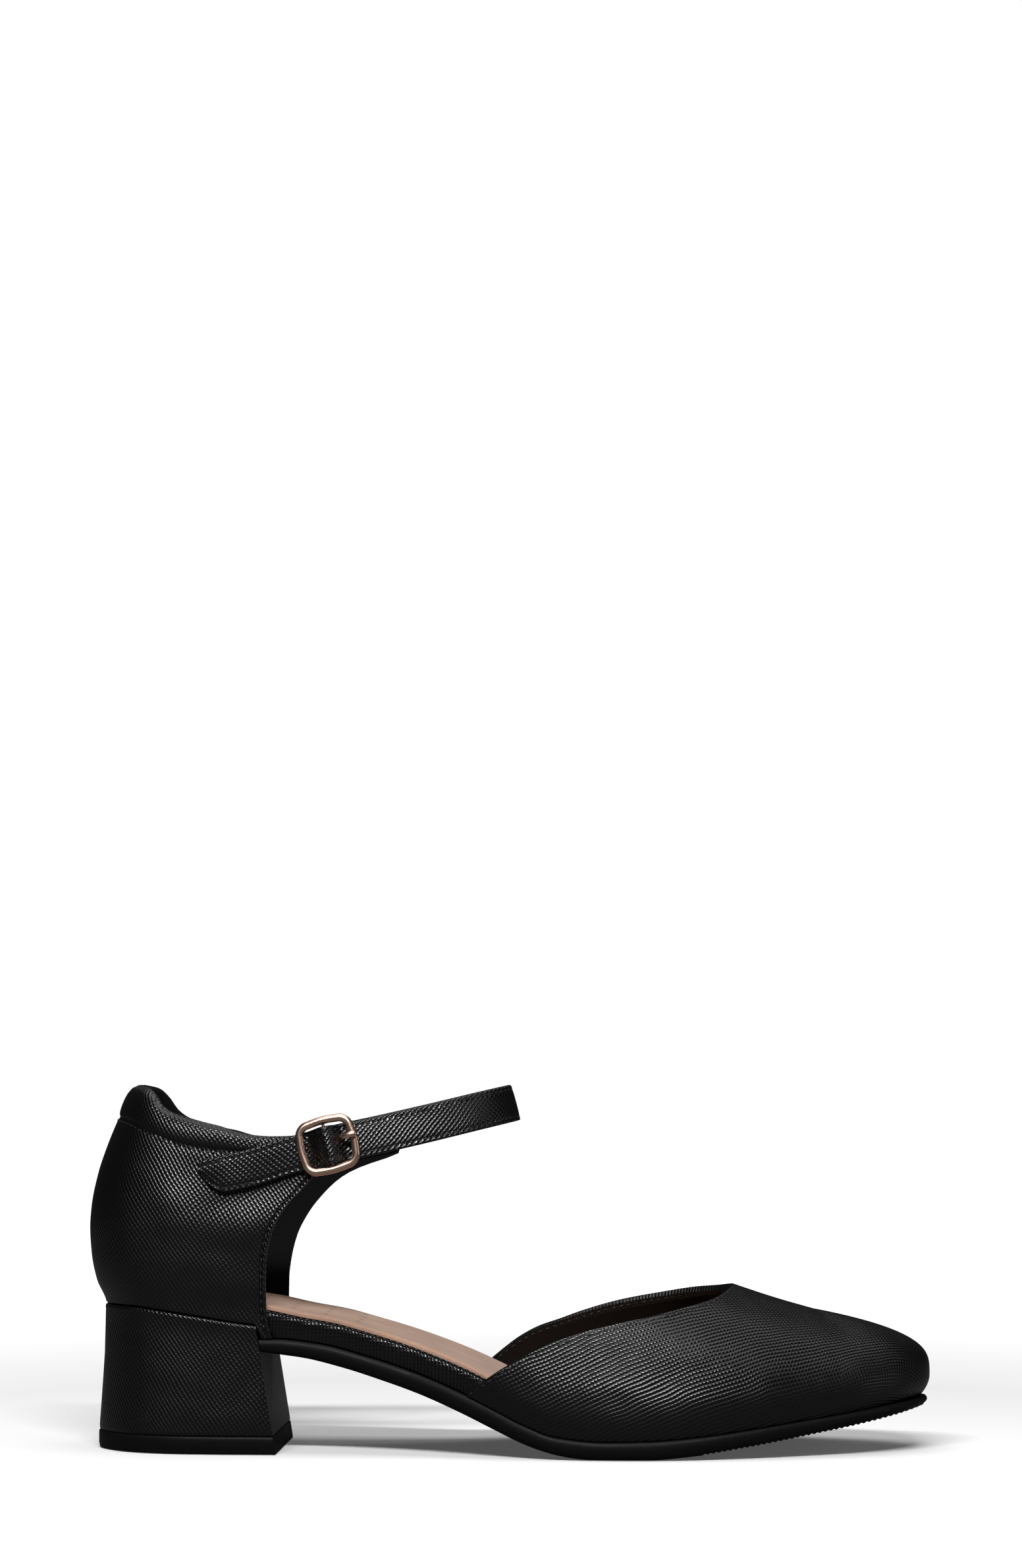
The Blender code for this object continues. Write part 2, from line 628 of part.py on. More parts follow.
def make_strap(look):
    """Ankle strap: one ribbon from inside the quarter's inner wing, round the front,
    through the buckle and back over the outer side to its shaped tail."""
    line = strap_path()
    tail_end = TAIL_X + TAIL_SHAPE[-1][0]
    hump_way = np.array(buckle_axes()[3])
    rings = []
    for k, (x, y) in enumerate(line):
        before = np.array(line[max(k - 1, 0)])
        after = np.array(line[min(k + 1, len(line) - 1)])
        ahead = (after - before) / np.linalg.norm(after - before)
        normal = np.array([ahead[1], -ahead[0], 0.0])
        low, high = -0.5 * STRAP_WIDTH, 0.5 * STRAP_WIDTH
        if y < 0 and x < tail_end:
            low, high = tail_low(x - TAIL_X), tail_high(x - TAIL_X)
        lift = buckle_hump(x) if y < 0 else 0.0
        faces = {}
        for out in (0.5 * STRAP_THICK, -0.5 * STRAP_THICK):
            faces[out] = []
            for v in (low, 0.5 * (low + high), high):
                faces[out].append(strap_point(x, y, v) + normal * out + hump_way * lift)
        rings.append(faces[0.5 * STRAP_THICK] + faces[-0.5 * STRAP_THICK][::-1])
    made = loft("ankle_strap", rings, look)
    rings = [[at_buckle(HOLE_P + a, PRONG_V + b, n) for a, b in circle(HOLE_RADIUS)]
             for n in (-2.0, 7.0)]
    cut(made, loft("strap_hole", rings, look))
    return made


def buckle_axes():
    """Centre, direction along the strap, direction up across it, and outward normal."""
    along = Vector((math.cos(BUCKLE_TILT), 0.0, math.sin(BUCKLE_TILT)))
    up = Vector((-math.sin(BUCKLE_TILT), STRAP_LEAN, math.cos(BUCKLE_TILT))).normalized()
    out = along.cross(up).normalized()
    centre = Vector((BUCKLE_X, beside_quarter(-1, BUCKLE_X, BUCKLE_Z, 0.0), BUCKLE_Z))
    return centre, along, up, out


def at_buckle(p, v, n):
    """Point p along the strap, v up across it and n out of the quarter's face."""
    centre, along, up, out = buckle_axes()
    return centre + along * p + up * v + out * n


def circle(radius, sides=12):
    """Corners of a round section."""
    turns = [2 * math.pi * k / sides for k in range(sides)]
    return [(radius * math.cos(turn), radius * math.sin(turn)) for turn in turns]


def cut(target, cutter, operation="DIFFERENCE"):
    """Boolean on target. The cutter stays as a hidden guide."""
    cutter.hide_render = True
    cutter.display_type = "WIRE"
    step = target.modifiers.new(cutter.name, "BOOLEAN")
    step.operation = operation
    step.object = cutter
    step.solver = "EXACT"


def tube(name, path, up, wide, deep, look, closed=False, sides=8):
    """Oval tube along a path, wide across and deep along the direction up."""
    rings = []
    count = len(path)
    for k, p in enumerate(path):
        before = path[k - 1] if k or closed else path[k]
        after = path[(k + 1) % count] if k < count - 1 or closed else path[k]
        ahead = (after - before).normalized()
        across = ahead.cross(up).normalized()
        rise = across.cross(ahead).normalized()
        ring = []
        for s in range(sides):
            turn = 2 * math.pi * (s + 0.5) / sides
            ring.append(p + across * 0.5 * wide * math.cos(turn)
                        + rise * 0.5 * deep * math.sin(turn))
        rings.append(ring)
    if not closed:
        return loft(name, rings, look, 60.0)
    points = [p for ring in rings for p in ring]
    faces = []
    for k in range(count):
        for s in range(sides):
            a, b = k * sides + s, k * sides + (s + 1) % sides
            c, d = ((k + 1) % count) * sides + s, ((k + 1) % count) * sides + (s + 1) % sides
            faces.append((a, b, d, c))
    return body(name, points, faces, look, 60.0)


# Distance out from the quarter's face to the middle of the frame, and of its bar
FRAME_OUT = GAP + STRAP_THICK + GAP + 0.5 * WIRE_DEEP
BAR_OUT = FRAME_OUT - 0.55


def make_buckle_frame(look):
    """Rounded metal frame with a bar down its middle."""
    half_p = 0.5 * (BUCKLE_LONG - WIRE_WIDE)
    half_v = 0.5 * (BUCKLE_HIGH - WIRE_WIDE)
    corner = BUCKLE_CORNER - 0.5 * WIRE_WIDE
    path = []
    for quarter_turn in range(4):
        sign_p = (1, -1, -1, 1)[quarter_turn]
        sign_v = (1, 1, -1, -1)[quarter_turn]
        for k in range(5):
            turn = 0.5 * math.pi * (quarter_turn + k / 4)
            path.append(at_buckle(sign_p * (half_p - corner) + corner * math.cos(turn),
                                  sign_v * (half_v - corner) + corner * math.sin(turn),
                                  FRAME_OUT))
    out = buckle_axes()[3]
    frame = tube("buckle_frame", path, out, WIRE_WIDE, WIRE_DEEP, look, closed=True)
    bar = tube("buckle_bar", [at_buckle(0.0, v, BAR_OUT) for v in (-half_v, half_v)],
               out, 2 * BAR_RADIUS, 2 * BAR_RADIUS, look)
    cut(frame, bar, "UNION")
    return frame


def make_buckle_prong(look):
    """Prong: an eye round the bar and a stem up through the strap to the front of the frame."""
    out = buckle_axes()[3]
    pieces = {}
    for name, wide, radius in (("prong_eye", PRONG_EYE_WIDE, BAR_RADIUS + PRONG_EYE_WALL),
                               ("prong_bore", 2.0 * PRONG_EYE_WIDE, BAR_RADIUS + PRONG_PLAY)):
        rings = [[at_buckle(a, PRONG_V + v, BAR_OUT + b) for a, b in circle(radius)]
                 for v in (-0.5 * wide, 0.5 * wide)]
        pieces[name] = loft(name, rings, look)
    # Distance along the strap from the bar, and out from the quarter's face
    stem_line = ((0.75, 1.5), (2.2, 1.3), (3.1, 1.75), (3.8, 2.7), (4.5, 3.7), (5.5, 4.45),
                 (6.6, 4.7), (8.0, 4.65), (8.6, 4.6))
    path = [at_buckle(p, PRONG_V, n) for p, n in stem_line]
    stem = tube("buckle_prong", path, out, PRONG_WIDE, PRONG_DEEP, look)
    cut(stem, pieces["prong_eye"], "UNION")
    cut(stem, pieces["prong_bore"])
    return stem


def make_buckle_loop(look):
    """Leather loop that holds the bar: both its layers go back inside the quarter."""
    over = BAR_RADIUS + LOOP_THICK
    half_wide, half_thick = 0.5 * LOOP_WIDE, 0.5 * LOOP_THICK
    # Distance along the strap from the bar, and out from the quarter's face
    line = [(-9.5, -2.75), (-3.2, -2.75), (-2.1, -1.6)]
    for degrees in (200, 160, 120, 80, 40, 0, -40, -75):
        turn = math.radians(degrees)
        line.append((over * math.cos(turn), BAR_OUT + over * math.sin(turn)))
    line += [(-1.1, -1.8), (-2.6, -3.55), (-9.5, -3.55)]
    rings = []
    for k, (p, n) in enumerate(line):
        before = Vector(line[max(k - 1, 0)])
        after = Vector(line[min(k + 1, len(line) - 1)])
        ahead = (after - before).normalized()
        side = Vector((-ahead.y, ahead.x))
        rings.append([at_buckle(p + side.x * s, v, n + side.y * s)
                      for s, v in ((half_thick, -half_wide), (half_thick, half_wide),
                                   (-half_thick, half_wide), (-half_thick, -half_wide))])
    made = loft("buckle_loop", rings, look)
    low, high = PRONG_V - 1.3, PRONG_V + 1.3
    slot = [[at_buckle(p, v, n) for v, n in ((low, 0.3), (high, 0.3), (high, 5.0), (low, 5.0))]
            for p in (-1.9, 2.5)]
    cut(made, loft("loop_slot", slot, look))
    return made


def main():
    for old in list(bpy.data.objects):
        bpy.data.objects.remove(old, do_unlink=True)
    leather = (0.012, 0.012, 0.013)
    rubber = (0.014, 0.014, 0.014)
    metal = (0.72, 0.43, 0.32)
    make_outsole(material("black_rubber_sole", rubber, 0.45))
    make_heel_top_piece(material("black_rubber_heel", rubber, 0.5))
    make_heel_block(material("heel_leather", leather, 0.28))
    make_insole_board(material("board_leather", leather, 0.28))
    make_sock(material("tan_suede", (0.66, 0.45, 0.34), 0.9))
    make_vamp(material("vamp_leather", leather, 0.28))
    make_quarter(material("quarter_leather", leather, 0.28))
    make_strap(material("strap_leather", leather, 0.28))
    make_buckle_loop(material("loop_leather", leather, 0.35))
    make_buckle_frame(material("rose_gold", metal, 0.25, 1.0))
    make_buckle_prong(material("rose_gold_prong", metal, 0.25, 1.0))


if __name__ == "__main__":
    main()
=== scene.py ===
"""Ankle strap pump, right shoe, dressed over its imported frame.

The tables and shaping sizes are in millimetres, with +X to the toe, +Y to the inner side
and the floor at z = 0. Meshes are made in metres.
"""
import math

import bmesh
import bpy
import numpy as np
from mathutils import Matrix, Vector


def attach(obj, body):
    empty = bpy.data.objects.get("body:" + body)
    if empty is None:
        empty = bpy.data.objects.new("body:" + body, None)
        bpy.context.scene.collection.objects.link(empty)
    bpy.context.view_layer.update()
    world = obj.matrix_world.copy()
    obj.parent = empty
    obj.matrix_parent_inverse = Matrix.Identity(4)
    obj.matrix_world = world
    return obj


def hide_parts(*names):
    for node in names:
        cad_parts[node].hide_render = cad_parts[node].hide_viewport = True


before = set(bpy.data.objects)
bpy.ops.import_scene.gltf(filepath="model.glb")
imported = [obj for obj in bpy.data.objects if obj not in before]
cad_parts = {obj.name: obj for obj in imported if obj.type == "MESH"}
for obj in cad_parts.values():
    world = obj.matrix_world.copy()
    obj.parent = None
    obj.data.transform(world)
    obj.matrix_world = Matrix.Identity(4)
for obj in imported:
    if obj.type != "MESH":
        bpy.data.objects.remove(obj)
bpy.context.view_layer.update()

bl_info = {
    "name": "Ankle Strap Pump",
    "version": (1, 0, 0),
    "blender": (4, 5, 0),
    "location": "3D View > Sidebar > Pump",
    "description": "Leather, lining, stitching and buckle of an ankle strap pump",
    "category": "Object",
}

MM = 0.001
# Middle of the finished shoe's box, in the tables' x and y
CENTRE = (-0.8, -0.4)

# What parts two pieces, and how thick the walls and layers are
GAP = 0.3
UPPER_WALL = 1.8
COLLAR_WALL = 4.2
SOCK_THICK = 1.4
HEEL_LIFT = 5.0

# Heel's front face at the floor and its lean, its last station, and the seat's end
BREAST_X = -66.5
BREAST_SLOPE = 0.161
HEEL_FRONT_X = -71.0
SEAT_END_X = -72.1
SEAT_STEP = 0.7

# Ankle strap. It rises to the front by the rake, and its upper edge leans in
STRAP_WIDTH = 10.8
STRAP_THICK = 1.2
STRAP_RAKE = math.radians(15.0)
STRAP_LEAN = 0.14
STRAP_STITCH_IN = 1.3
TAIL_X = -88.4
INNER_END_X = -54.0
# How far the strap stands out over the buckle's bar, and half the length of that hump
HUMP_RISE = 3.4
HUMP_HALF = 5.5

# Buckle: its middle, frame, wire and bar
BUCKLE_X = -51.4
BUCKLE_Z = 88.3
BUCKLE_LONG = 17.2
BUCKLE_HIGH = 16.2
BUCKLE_CORNER = 4.3
BUCKLE_BULGE = 0.35
WIRE_WIDE = 2.3
WIRE_DEEP = 1.9
BAR_RADIUS = 0.45
# Prong, and the hole it goes through: v is up across the strap, p along it from the bar
PRONG_V = 1.0
PRONG_HALF_WIDE = 0.85
PRONG_HALF_DEEP = 0.5
HOLE_P = 3.5
HOLE_RADIUS = 1.3

# Vamp: where its ribs fan out round the toe, the throat's front end, the roof's slope at the
# toe, and the share of a rib that lies in the bulge beside the sole
FAN_X = 88.0
APEX_X = 65.2
ROOF_SLOPE = 0.21
BULGE_SHARE = 0.2
# A rib at the vamp's side, and what the toe adds
RIB_BULGE = (1.7, 1.0)
RIB_RISE = (8.5, -2.5)
RIB_POWER = (1.85, 1.65)

# Camera, in metres, and the scale it gives: pixels of the 2380 high picture to a millimetre
EYE = (0.0598, -1.2996, 0.124)
AIM = (0.0008, 0.0004, 0.194)
PIXELS_PER_MM = 5.15
PICTURE_HEIGHT = 2380.0
SENSOR = 36.0

# Dull grooves of the leather, where the sock's dark perforations are, in metres, and their colour,
# which is painted shade inside the holes
GROOVE_ROUGHNESS = 0.4
HOLES_WITHIN_Y = 0.0195
HOLES_BEHIND_X = -0.036
HOLE_PAINTED_SHADE = (0.10, 0.065, 0.05)

# Meshes: points this close are one, and edges that turn more are sharp or rounded
MERGE = 0.000005
SHARP_ANGLE = math.radians(50.0)
ROUND_ANGLE = math.radians(55.0)
ROUNDED_SHARP_ANGLE = math.radians(65.0)

# The stitches beside the quarter's front edge lie in a soft groove this far in
FRONT_STITCH_IN = 1.35
# The groove that a row of stitches pulls into the quarter: depth, half width
SEAM_GROOVE = (0.30, 0.7)
FRONT_GROOVE = (0.32, 0.3)

# Feather outline in plan, from the back of the heel round the toe: x, y
OUTLINE = (
    (-118.9, 0.0), (-116.6, -10.0), (-109.0, -19.6), (-98.0, -24.9), (-84.0, -26.6),
    (-69.0, -27.0), (-50.0, -27.8), (-30.0, -30.0), (-10.0, -34.2), (10.0, -38.2),
    (32.0, -40.4), (52.0, -38.8), (70.0, -34.4), (86.0, -28.2), (100.0, -21.5),
    (111.0, -12.8), (117.9, -2.8), (119.7, 5.2), (117.8, 13.6), (110.6, 22.8),
    (98.5, 30.2), (84.0, 35.4), (69.0, 38.5), (53.0, 39.4), (35.0, 37.6),
    (15.0, 33.0), (-5.0, 28.4), (-26.0, 25.6), (-46.0, 25.0), (-69.0, 26.2),
    (-84.0, 26.4), (-98.0, 24.7), (-109.0, 19.4), (-116.6, 10.0),
)

# Heights along the shoe: x, z
TREAD = ((-72.0, 29.4), (-64.6, 28.4), (-58.7, 27.6), (-47.3, 24.9), (-35.9, 21.4),
         (-24.6, 17.5), (-13.2, 12.7), (-1.8, 7.3), (3.8, 4.7), (9.4, 2.6), (15.0, 1.1),
         (20.0, 0.3), (24.0, 0.0), (41.0, 0.0), (52.0, 0.8), (69.0, 3.2), (87.0, 6.2),
         (106.0, 9.5), (123.0, 12.9))
FEATHER = ((-73.0, 32.7), (-67.6, 32.8), (-54.5, 31.5), (-39.7, 27.8), (-24.5, 22.9),
           (-13.1, 18.2), (-3.6, 13.7), (4.3, 9.8), (14.6, 6.2), (28.2, 5.0), (41.9, 5.3),
           (55.5, 6.4), (69.0, 8.1), (82.6, 10.0), (96.7, 11.9), (107.6, 13.5), (122.0, 15.3))
BOARD_TOP = ((-119.0, 47.4), (-100.0, 45.2), (-85.0, 43.0), (-68.5, 40.7), (-59.4, 38.8),
             (-49.7, 37.1), (-40.0, 34.5), (-30.2, 31.6), (-20.5, 28.2), (-10.9, 24.3),
             (-4.0, 21.0), (6.0, 15.8), (16.0, 11.6), (28.0, 9.4), (42.0, 9.4),
             (69.0, 12.3), (96.0, 16.2), (119.0, 19.6))
SEAT = ((-119.0, 41.9), (-110.0, 41.9), (-98.6, 40.7), (-89.1, 39.3), (-79.5, 37.8),
        (-72.0, 36.8))
RIDGE = ((-30.0, 84.0), (0.0, 72.5), (20.0, 64.5), (40.0, 56.6), (65.2, 47.4),
         (77.9, 43.2), (88.0, 40.3))
RIDGE_SIDE = ((-30.0, 0.0), (40.0, 1.5), (65.2, 3.0), (88.0, 4.5))

# Throat line of the vamp: x, z
THROAT_LATERAL = ((-11.0, 18.6), (-7.3, 21.2), (-0.9, 25.6), (5.4, 29.0), (14.5, 33.3),
                  (23.7, 36.2), (32.7, 38.3), (41.9, 40.1), (50.9, 42.2), (60.0, 44.6),
                  (65.2, 47.4))
THROAT_MEDIAL = ((-13.0, 19.2), (-7.5, 23.3), (-4.5, 25.8), (1.4, 30.2), (7.3, 33.3),
                 (13.2, 35.3), (19.2, 37.5), (31.0, 41.0), (42.8, 43.4), (54.7, 45.6),
                 (61.0, 46.4), (65.2, 47.4))

# Outward lean of the quarter from the feather: z, offset at the back, offset at the side
QUARTER_LEAN = ((32.0, -1.0, -0.3), (42.0, 0.0, 0.0), (48.6, 2.9, 0.7), (56.3, 4.5, 1.1),
                (64.1, 5.0, 1.0), (69.9, 4.6, 0.5), (79.5, 2.7, -0.8), (88.2, -0.2, -2.0),
                (96.2, -3.5, -3.0), (106.0, -7.9, -3.8))

# Collar rim and its lower seam: x, z on the outer side, z on the inner side
COLLAR_RIM = ((-111.0, 105.4, 105.4), (-107.0, 104.8, 104.2), (-104.0, 102.9, 101.6),
              (-101.3, 99.7, 97.9), (-97.8, 97.6, 95.4), (-94.9, 96.8, 94.4),
              (-88.2, 95.0, 92.6), (-83.2, 93.8, 91.6), (-78.3, 92.2, 90.2),
              (-73.5, 91.3, 89.5), (-68.5, 91.0, 89.4), (-61.8, 91.2, 90.2),
              (-50.0, 93.4, 93.0), (-35.0, 96.8, 96.6))
COLLAR_SEAM = ((-115.4, 96.2, 96.2), (-111.5, 95.4, 95.2), (-104.8, 92.5, 91.5),
               (-97.1, 89.5, 87.8), (-89.5, 88.0, 86.0), (-81.8, 87.0, 85.0),
               (-74.2, 86.6, 84.6), (-66.0, 87.2, 85.2), (-56.0, 89.4, 88.2),
               (-35.0, 93.6, 93.4))

# Front edges of the quarter: z, x
FRONT_LATERAL = ((33.0, -67.6), (36.5, -68.6), (40.9, -69.3), (46.1, -69.5), (55.4, -69.3),
                 (63.5, -67.7), (70.3, -64.2), (75.6, -59.5), (79.4, -56.2), (82.5, -55.2),
                 (88.0, -55.0), (93.6, -56.4))
FRONT_MEDIAL = ((33.0, -66.4), (37.0, -67.2), (42.1, -67.7), (47.8, -67.7), (52.7, -67.2),
                (60.2, -65.4), (66.7, -62.1), (72.4, -57.6), (77.9, -51.4), (81.2, -44.7),
                (83.2, -38.6), (85.2, -34.4), (90.0, -34.2), (96.8, -35.6))

# Ankle strap: its middle line from the outer side round the front to the inner side, x, y
STRAP_LOOP = ((-62.0, -26.7), (-50.0, -26.6), (-40.0, -25.4), (-28.0, -22.6), (-16.0, -18.0),
              (-6.0, -11.8), (-0.6, -4.8), (0.8, 1.0), (-2.0, 7.6), (-9.5, 14.2), (-20.0, 18.6),
              (-32.0, 20.3), (-44.0, 20.4), (-56.0, 20.6))
# Height of that middle line: x, z
STRAP_RISE = ((-89.0, 78.4), (-80.6, 80.4), (-73.3, 82.1), (-66.1, 84.4), (-61.7, 85.7),
              (-51.4, 88.35), (-40.0, 90.8), (-24.2, 94.4), (-8.4, 98.2), (2.0, 100.6))
# Tail of the strap: distance from its tip, lower edge, upper edge
TAIL_SHAPE = ((0.0, 2.2, 3.6), (0.8, 0.2, 5.1), (2.2, -2.4, 5.4), (4.0, -4.3, 5.4),
              (6.5, -5.3, 5.4), (10.0, -5.4, 5.4))
# Strap in section: distance in from its edge, height of its face
STRAP_SECTION = ((0.0, 0.0), (0.12, 0.36), (0.4, 0.58), (0.9, 0.62), (1.3, 0.44),
                 (1.7, 0.62), (2.6, 0.70))

# Soft hollows and swells of the quarter: side, x, z, half length, half width, turn, depth
QUARTER_FORM = (
    (-1, -95.0, 69.0, 15.0, 6.0, -60.0, 0.55), (-1, -74.0, 74.0, 12.0, 3.4, 14.0, -0.55),
    (-1, -73.0, 65.0, 10.0, 4.2, 30.0, 0.30), (-1, -80.0, 57.0, 14.0, 5.0, -20.0, -0.35),
    (-1, -104.0, 60.0, 12.0, 6.0, -75.0, -0.25),
    (1, -92.0, 72.0, 15.0, 5.5, -60.0, 0.45), (1, -74.0, 66.0, 12.0, 5.0, -42.0, -0.40),
)
# Soft dents of the worked vamp: side, x, z, half length, half width, turn, depth
VAMP_FORM = (
    (-1, 26.0, 27.0, 9.0, 3.0, 18.0, -0.30), (-1, 33.0, 21.0, 12.0, 3.0, 8.0, 0.22),
    (-1, 50.0, 24.0, 10.0, 2.6, 12.0, -0.26), (-1, 60.0, 18.0, 14.0, 3.2, 4.0, 0.20),
    (-1, 78.0, 27.0, 12.0, 3.5, -20.0, -0.22), (1, 30.0, 26.0, 10.0, 3.0, 15.0, -0.30),
    (1, 52.0, 22.0, 12.0, 3.2, 8.0, 0.22), (1, 74.0, 28.0, 11.0, 3.5, -18.0, -0.22),
)


class PumpLeather(bpy.types.PropertyGroup):
    """Cross-grain leather of the upper, heel and insole edge."""
    # Painted highlight and shade: the crest colour is lighter than the groove colour, so that the
    # raised grain reads as catching the light and the grooves as lying in shade
    polished_crest_painted_lighter: bpy.props.FloatVectorProperty(
        name="Crest colour", description="Colour of the leather on its raised grain",
        subtype="COLOR", default=(0.0022, 0.0022, 0.0023), min=0.0, max=1.0)
    groove: bpy.props.FloatVectorProperty(
        name="Groove colour", description="Colour of the leather between the raised grain",
        subtype="COLOR", default=(0.0003, 0.0003, 0.0004), min=0.0, max=1.0)
    roughness: bpy.props.FloatProperty(
        name="Roughness", description="Roughness of the polished grain", subtype="FACTOR",
        default=0.13, min=0.0, max=1.0)
    line_pitch: bpy.props.FloatProperty(
        name="Line pitch", description="Distance between the main grain lines",
        unit="LENGTH", default=0.00105, min=0.0003, precision=5)
    cross_pitch: bpy.props.FloatProperty(
        name="Cross pitch", description="Distance between the crossing grain lines",
        unit="LENGTH", default=0.00125, min=0.0003, precision=5)
    depth: bpy.props.FloatProperty(
        name="Grain depth", description="Depth of the pressed grain",
        unit="LENGTH", default=0.00014, min=0.0, precision=5)


class PumpLining(bpy.types.PropertyGroup):
    """Textile linings of the quarter and vamp."""
    quarter_colour: bpy.props.FloatVectorProperty(
        name="Quarter lining", description="Colour of the quarter's lining", subtype="COLOR",
        default=(0.0030, 0.0030, 0.0032), min=0.0, max=1.0)
    vamp_colour: bpy.props.FloatVectorProperty(
        name="Vamp lining", description="Colour of the vamp's lining", subtype="COLOR",
        default=(0.0055, 0.0032, 0.0025), min=0.0, max=1.0)
    thread_pitch: bpy.props.FloatProperty(
        name="Weave pitch", description="Distance between the threads of the linings",
        unit="LENGTH", default=0.00055, min=0.0002, precision=5)


class PumpSock(bpy.types.PropertyGroup):
    """Suede footbed."""
    colour: bpy.props.FloatVectorProperty(
        name="Colour", description="Colour of the suede", subtype="COLOR",
        default=(0.29, 0.178, 0.129), min=0.0, max=1.0)
    brushed: bpy.props.FloatVectorProperty(
        name="Brushed colour", description="Colour where the nap lies the other way",
        subtype="COLOR", default=(0.42, 0.262, 0.186), min=0.0, max=1.0)
    hole_pitch: bpy.props.FloatProperty(
        name="Perforation pitch", description="Distance between the perforations",
        unit="LENGTH", default=0.0095, min=0.001, precision=4)
    hole_radius: bpy.props.FloatProperty(
        name="Perforation radius", description="Radius of a perforation",
        unit="LENGTH", default=0.00085, min=0.0001, precision=5)


class PumpRubber(bpy.types.PropertyGroup):
    """Outsole and heel top piece."""
    colour: bpy.props.FloatVectorProperty(
        name="Colour", description="Colour of the rubber", subtype="COLOR",
        default=(0.0030, 0.0030, 0.0032), min=0.0, max=1.0)
    roughness: bpy.props.FloatProperty(
        name="Roughness", description="Roughness of the rubber", subtype="FACTOR",
        default=0.5, min=0.0, max=1.0)
    rib_pitch: bpy.props.FloatProperty(
        name="Tread pitch", description="Distance between the tread ribs at the toe",
        unit="LENGTH", default=0.0016, min=0.0008, precision=4)
    rib_depth: bpy.props.FloatProperty(
        name="Tread depth", description="Depth of the tread ribs at the toe",
        unit="LENGTH", default=0.0004, min=0.0, precision=4)


class PumpThread(bpy.types.PropertyGroup):
    """Stitching."""
    colour: bpy.props.FloatVectorProperty(
        name="Colour", description="Colour of the thread", subtype="COLOR",
        default=(0.010, 0.010, 0.010), min=0.0, max=1.0)
    pitch: bpy.props.FloatProperty(
        name="Stitch pitch", description="Distance between two stitches",
        unit="LENGTH", default=0.0023, min=0.001, precision=4)
    length: bpy.props.FloatProperty(
        name="Stitch length", description="Visible length of one stitch",
        unit="LENGTH", default=0.0017, min=0.0005, precision=4)
    radius: bpy.props.FloatProperty(
        name="Thread radius", description="Radius of the thread",
        unit="LENGTH", default=0.00021, min=0.0001, precision=5)


class PumpMetal(bpy.types.PropertyGroup):
    """Buckle metal."""
    colour: bpy.props.FloatVectorProperty(
        name="Colour", description="Colour of the plated metal", subtype="COLOR",
        default=(0.68, 0.45, 0.35), min=0.0, max=1.0)
    roughness: bpy.props.FloatProperty(
        name="Roughness", description="Roughness of the satin polish", subtype="FACTOR",
        default=0.27, min=0.0, max=1.0)


class PumpStage(bpy.types.PropertyGroup):
    """Floor, lights and camera."""
    floor_colour: bpy.props.FloatVectorProperty(
        name="Floor", description="Colour of the floor", subtype="COLOR",
        default=(0.82, 0.82, 0.82), min=0.0, max=1.0)
    bounce: bpy.props.FloatProperty(
        name="Bounce", description="Share of the light that the floor throws back on the shoe",
        subtype="FACTOR", default=0.12, min=0.0, max=1.0)
    top_power: bpy.props.FloatProperty(
        name="Top power", description="Power of the softbox over the shoe in watts",
        default=6.8, min=0.0)
    front_power: bpy.props.FloatProperty(
        name="Front power", description="Power of the softbox in front of the shoe in watts",
        default=16.0, min=0.0)
    side_power: bpy.props.FloatProperty(
        name="Side power", description="Power of the softbox beyond the toe in watts",
        default=0.9, min=0.0)
    back_power: bpy.props.FloatProperty(
        name="Back power", description="Power of the softbox behind the shoe in watts",
        default=1.5, min=0.0)
    room: bpy.props.FloatProperty(
        name="Room light", description="Brightness of the dim room round the shoe",
        subtype="FACTOR", default=0.03, min=0.0, max=1.0)


class Curve:
    """A smooth curve through given rows that never overshoots them."""

    def __init__(self, rows, column=1):
        self.x = np.array([row[0] for row in rows], float)
        self.y = np.array([row[column] for row in rows], float)
        step = np.diff(self.x)
        rise = np.diff(self.y) / step
        slope = np.zeros(len(rows))
        slope[0], slope[-1] = rise[0], rise[-1]
        for i in range(1, len(rows) - 1):
            if rise[i - 1] * rise[i] > 0:
                near = 2 * step[i] + step[i - 1]
                far = step[i] + 2 * step[i - 1]
                slope[i] = (near + far) / (near / rise[i - 1] + far / rise[i])
        self.slope = slope

    def __call__(self, x):
        x = min(max(x, self.x[0]), self.x[-1])
        i = min(int(np.searchsorted(self.x, x, side="right")) - 1, len(self.x) - 2)
        step = self.x[i + 1] - self.x[i]
        t = (x - self.x[i]) / step
        a = self.y[i] * (1 + 2 * t) * (1 - t) ** 2
        b = self.slope[i] * step * t * (1 - t) ** 2
        c = self.y[i + 1] * t * t * (3 - 2 * t)
        d = self.slope[i + 1] * step * t * t * (t - 1)
        return a + b + c + d


def halve(low, high, below, steps):
    """Place between low and high where below stops being true."""
    for _ in range(steps):
        middle = 0.5 * (low + high)
        if below(middle):
            low = middle
        else:
            high = middle
    return 0.5 * (low + high)


def place_key(p):
    """Rounded place of a point, the same for points that meet."""
    return tuple(round(float(v), 3) for v in p)


def walk_along(points):
    """Distance walked to each point of a line."""
    steps = np.linalg.norm(np.diff(points, axis=0), axis=1)
    return np.concatenate([[0], np.cumsum(steps)])


def on_line(points, walked, s):
    """Point at distance s along a line of points."""
    return np.array([np.interp(s, walked, column) for column in np.transpose(points)])


def through(p0, p1, p2, p3, t):
    """Point at share t between p1 and p2, on a smooth curve through all four."""
    return 0.5 * (2 * p1 + (p2 - p0) * t
                  + (2 * p0 - 5 * p1 + 4 * p2 - p3) * t ** 2
                  + (3 * p1 - p0 - 3 * p2 + p3) * t ** 3)


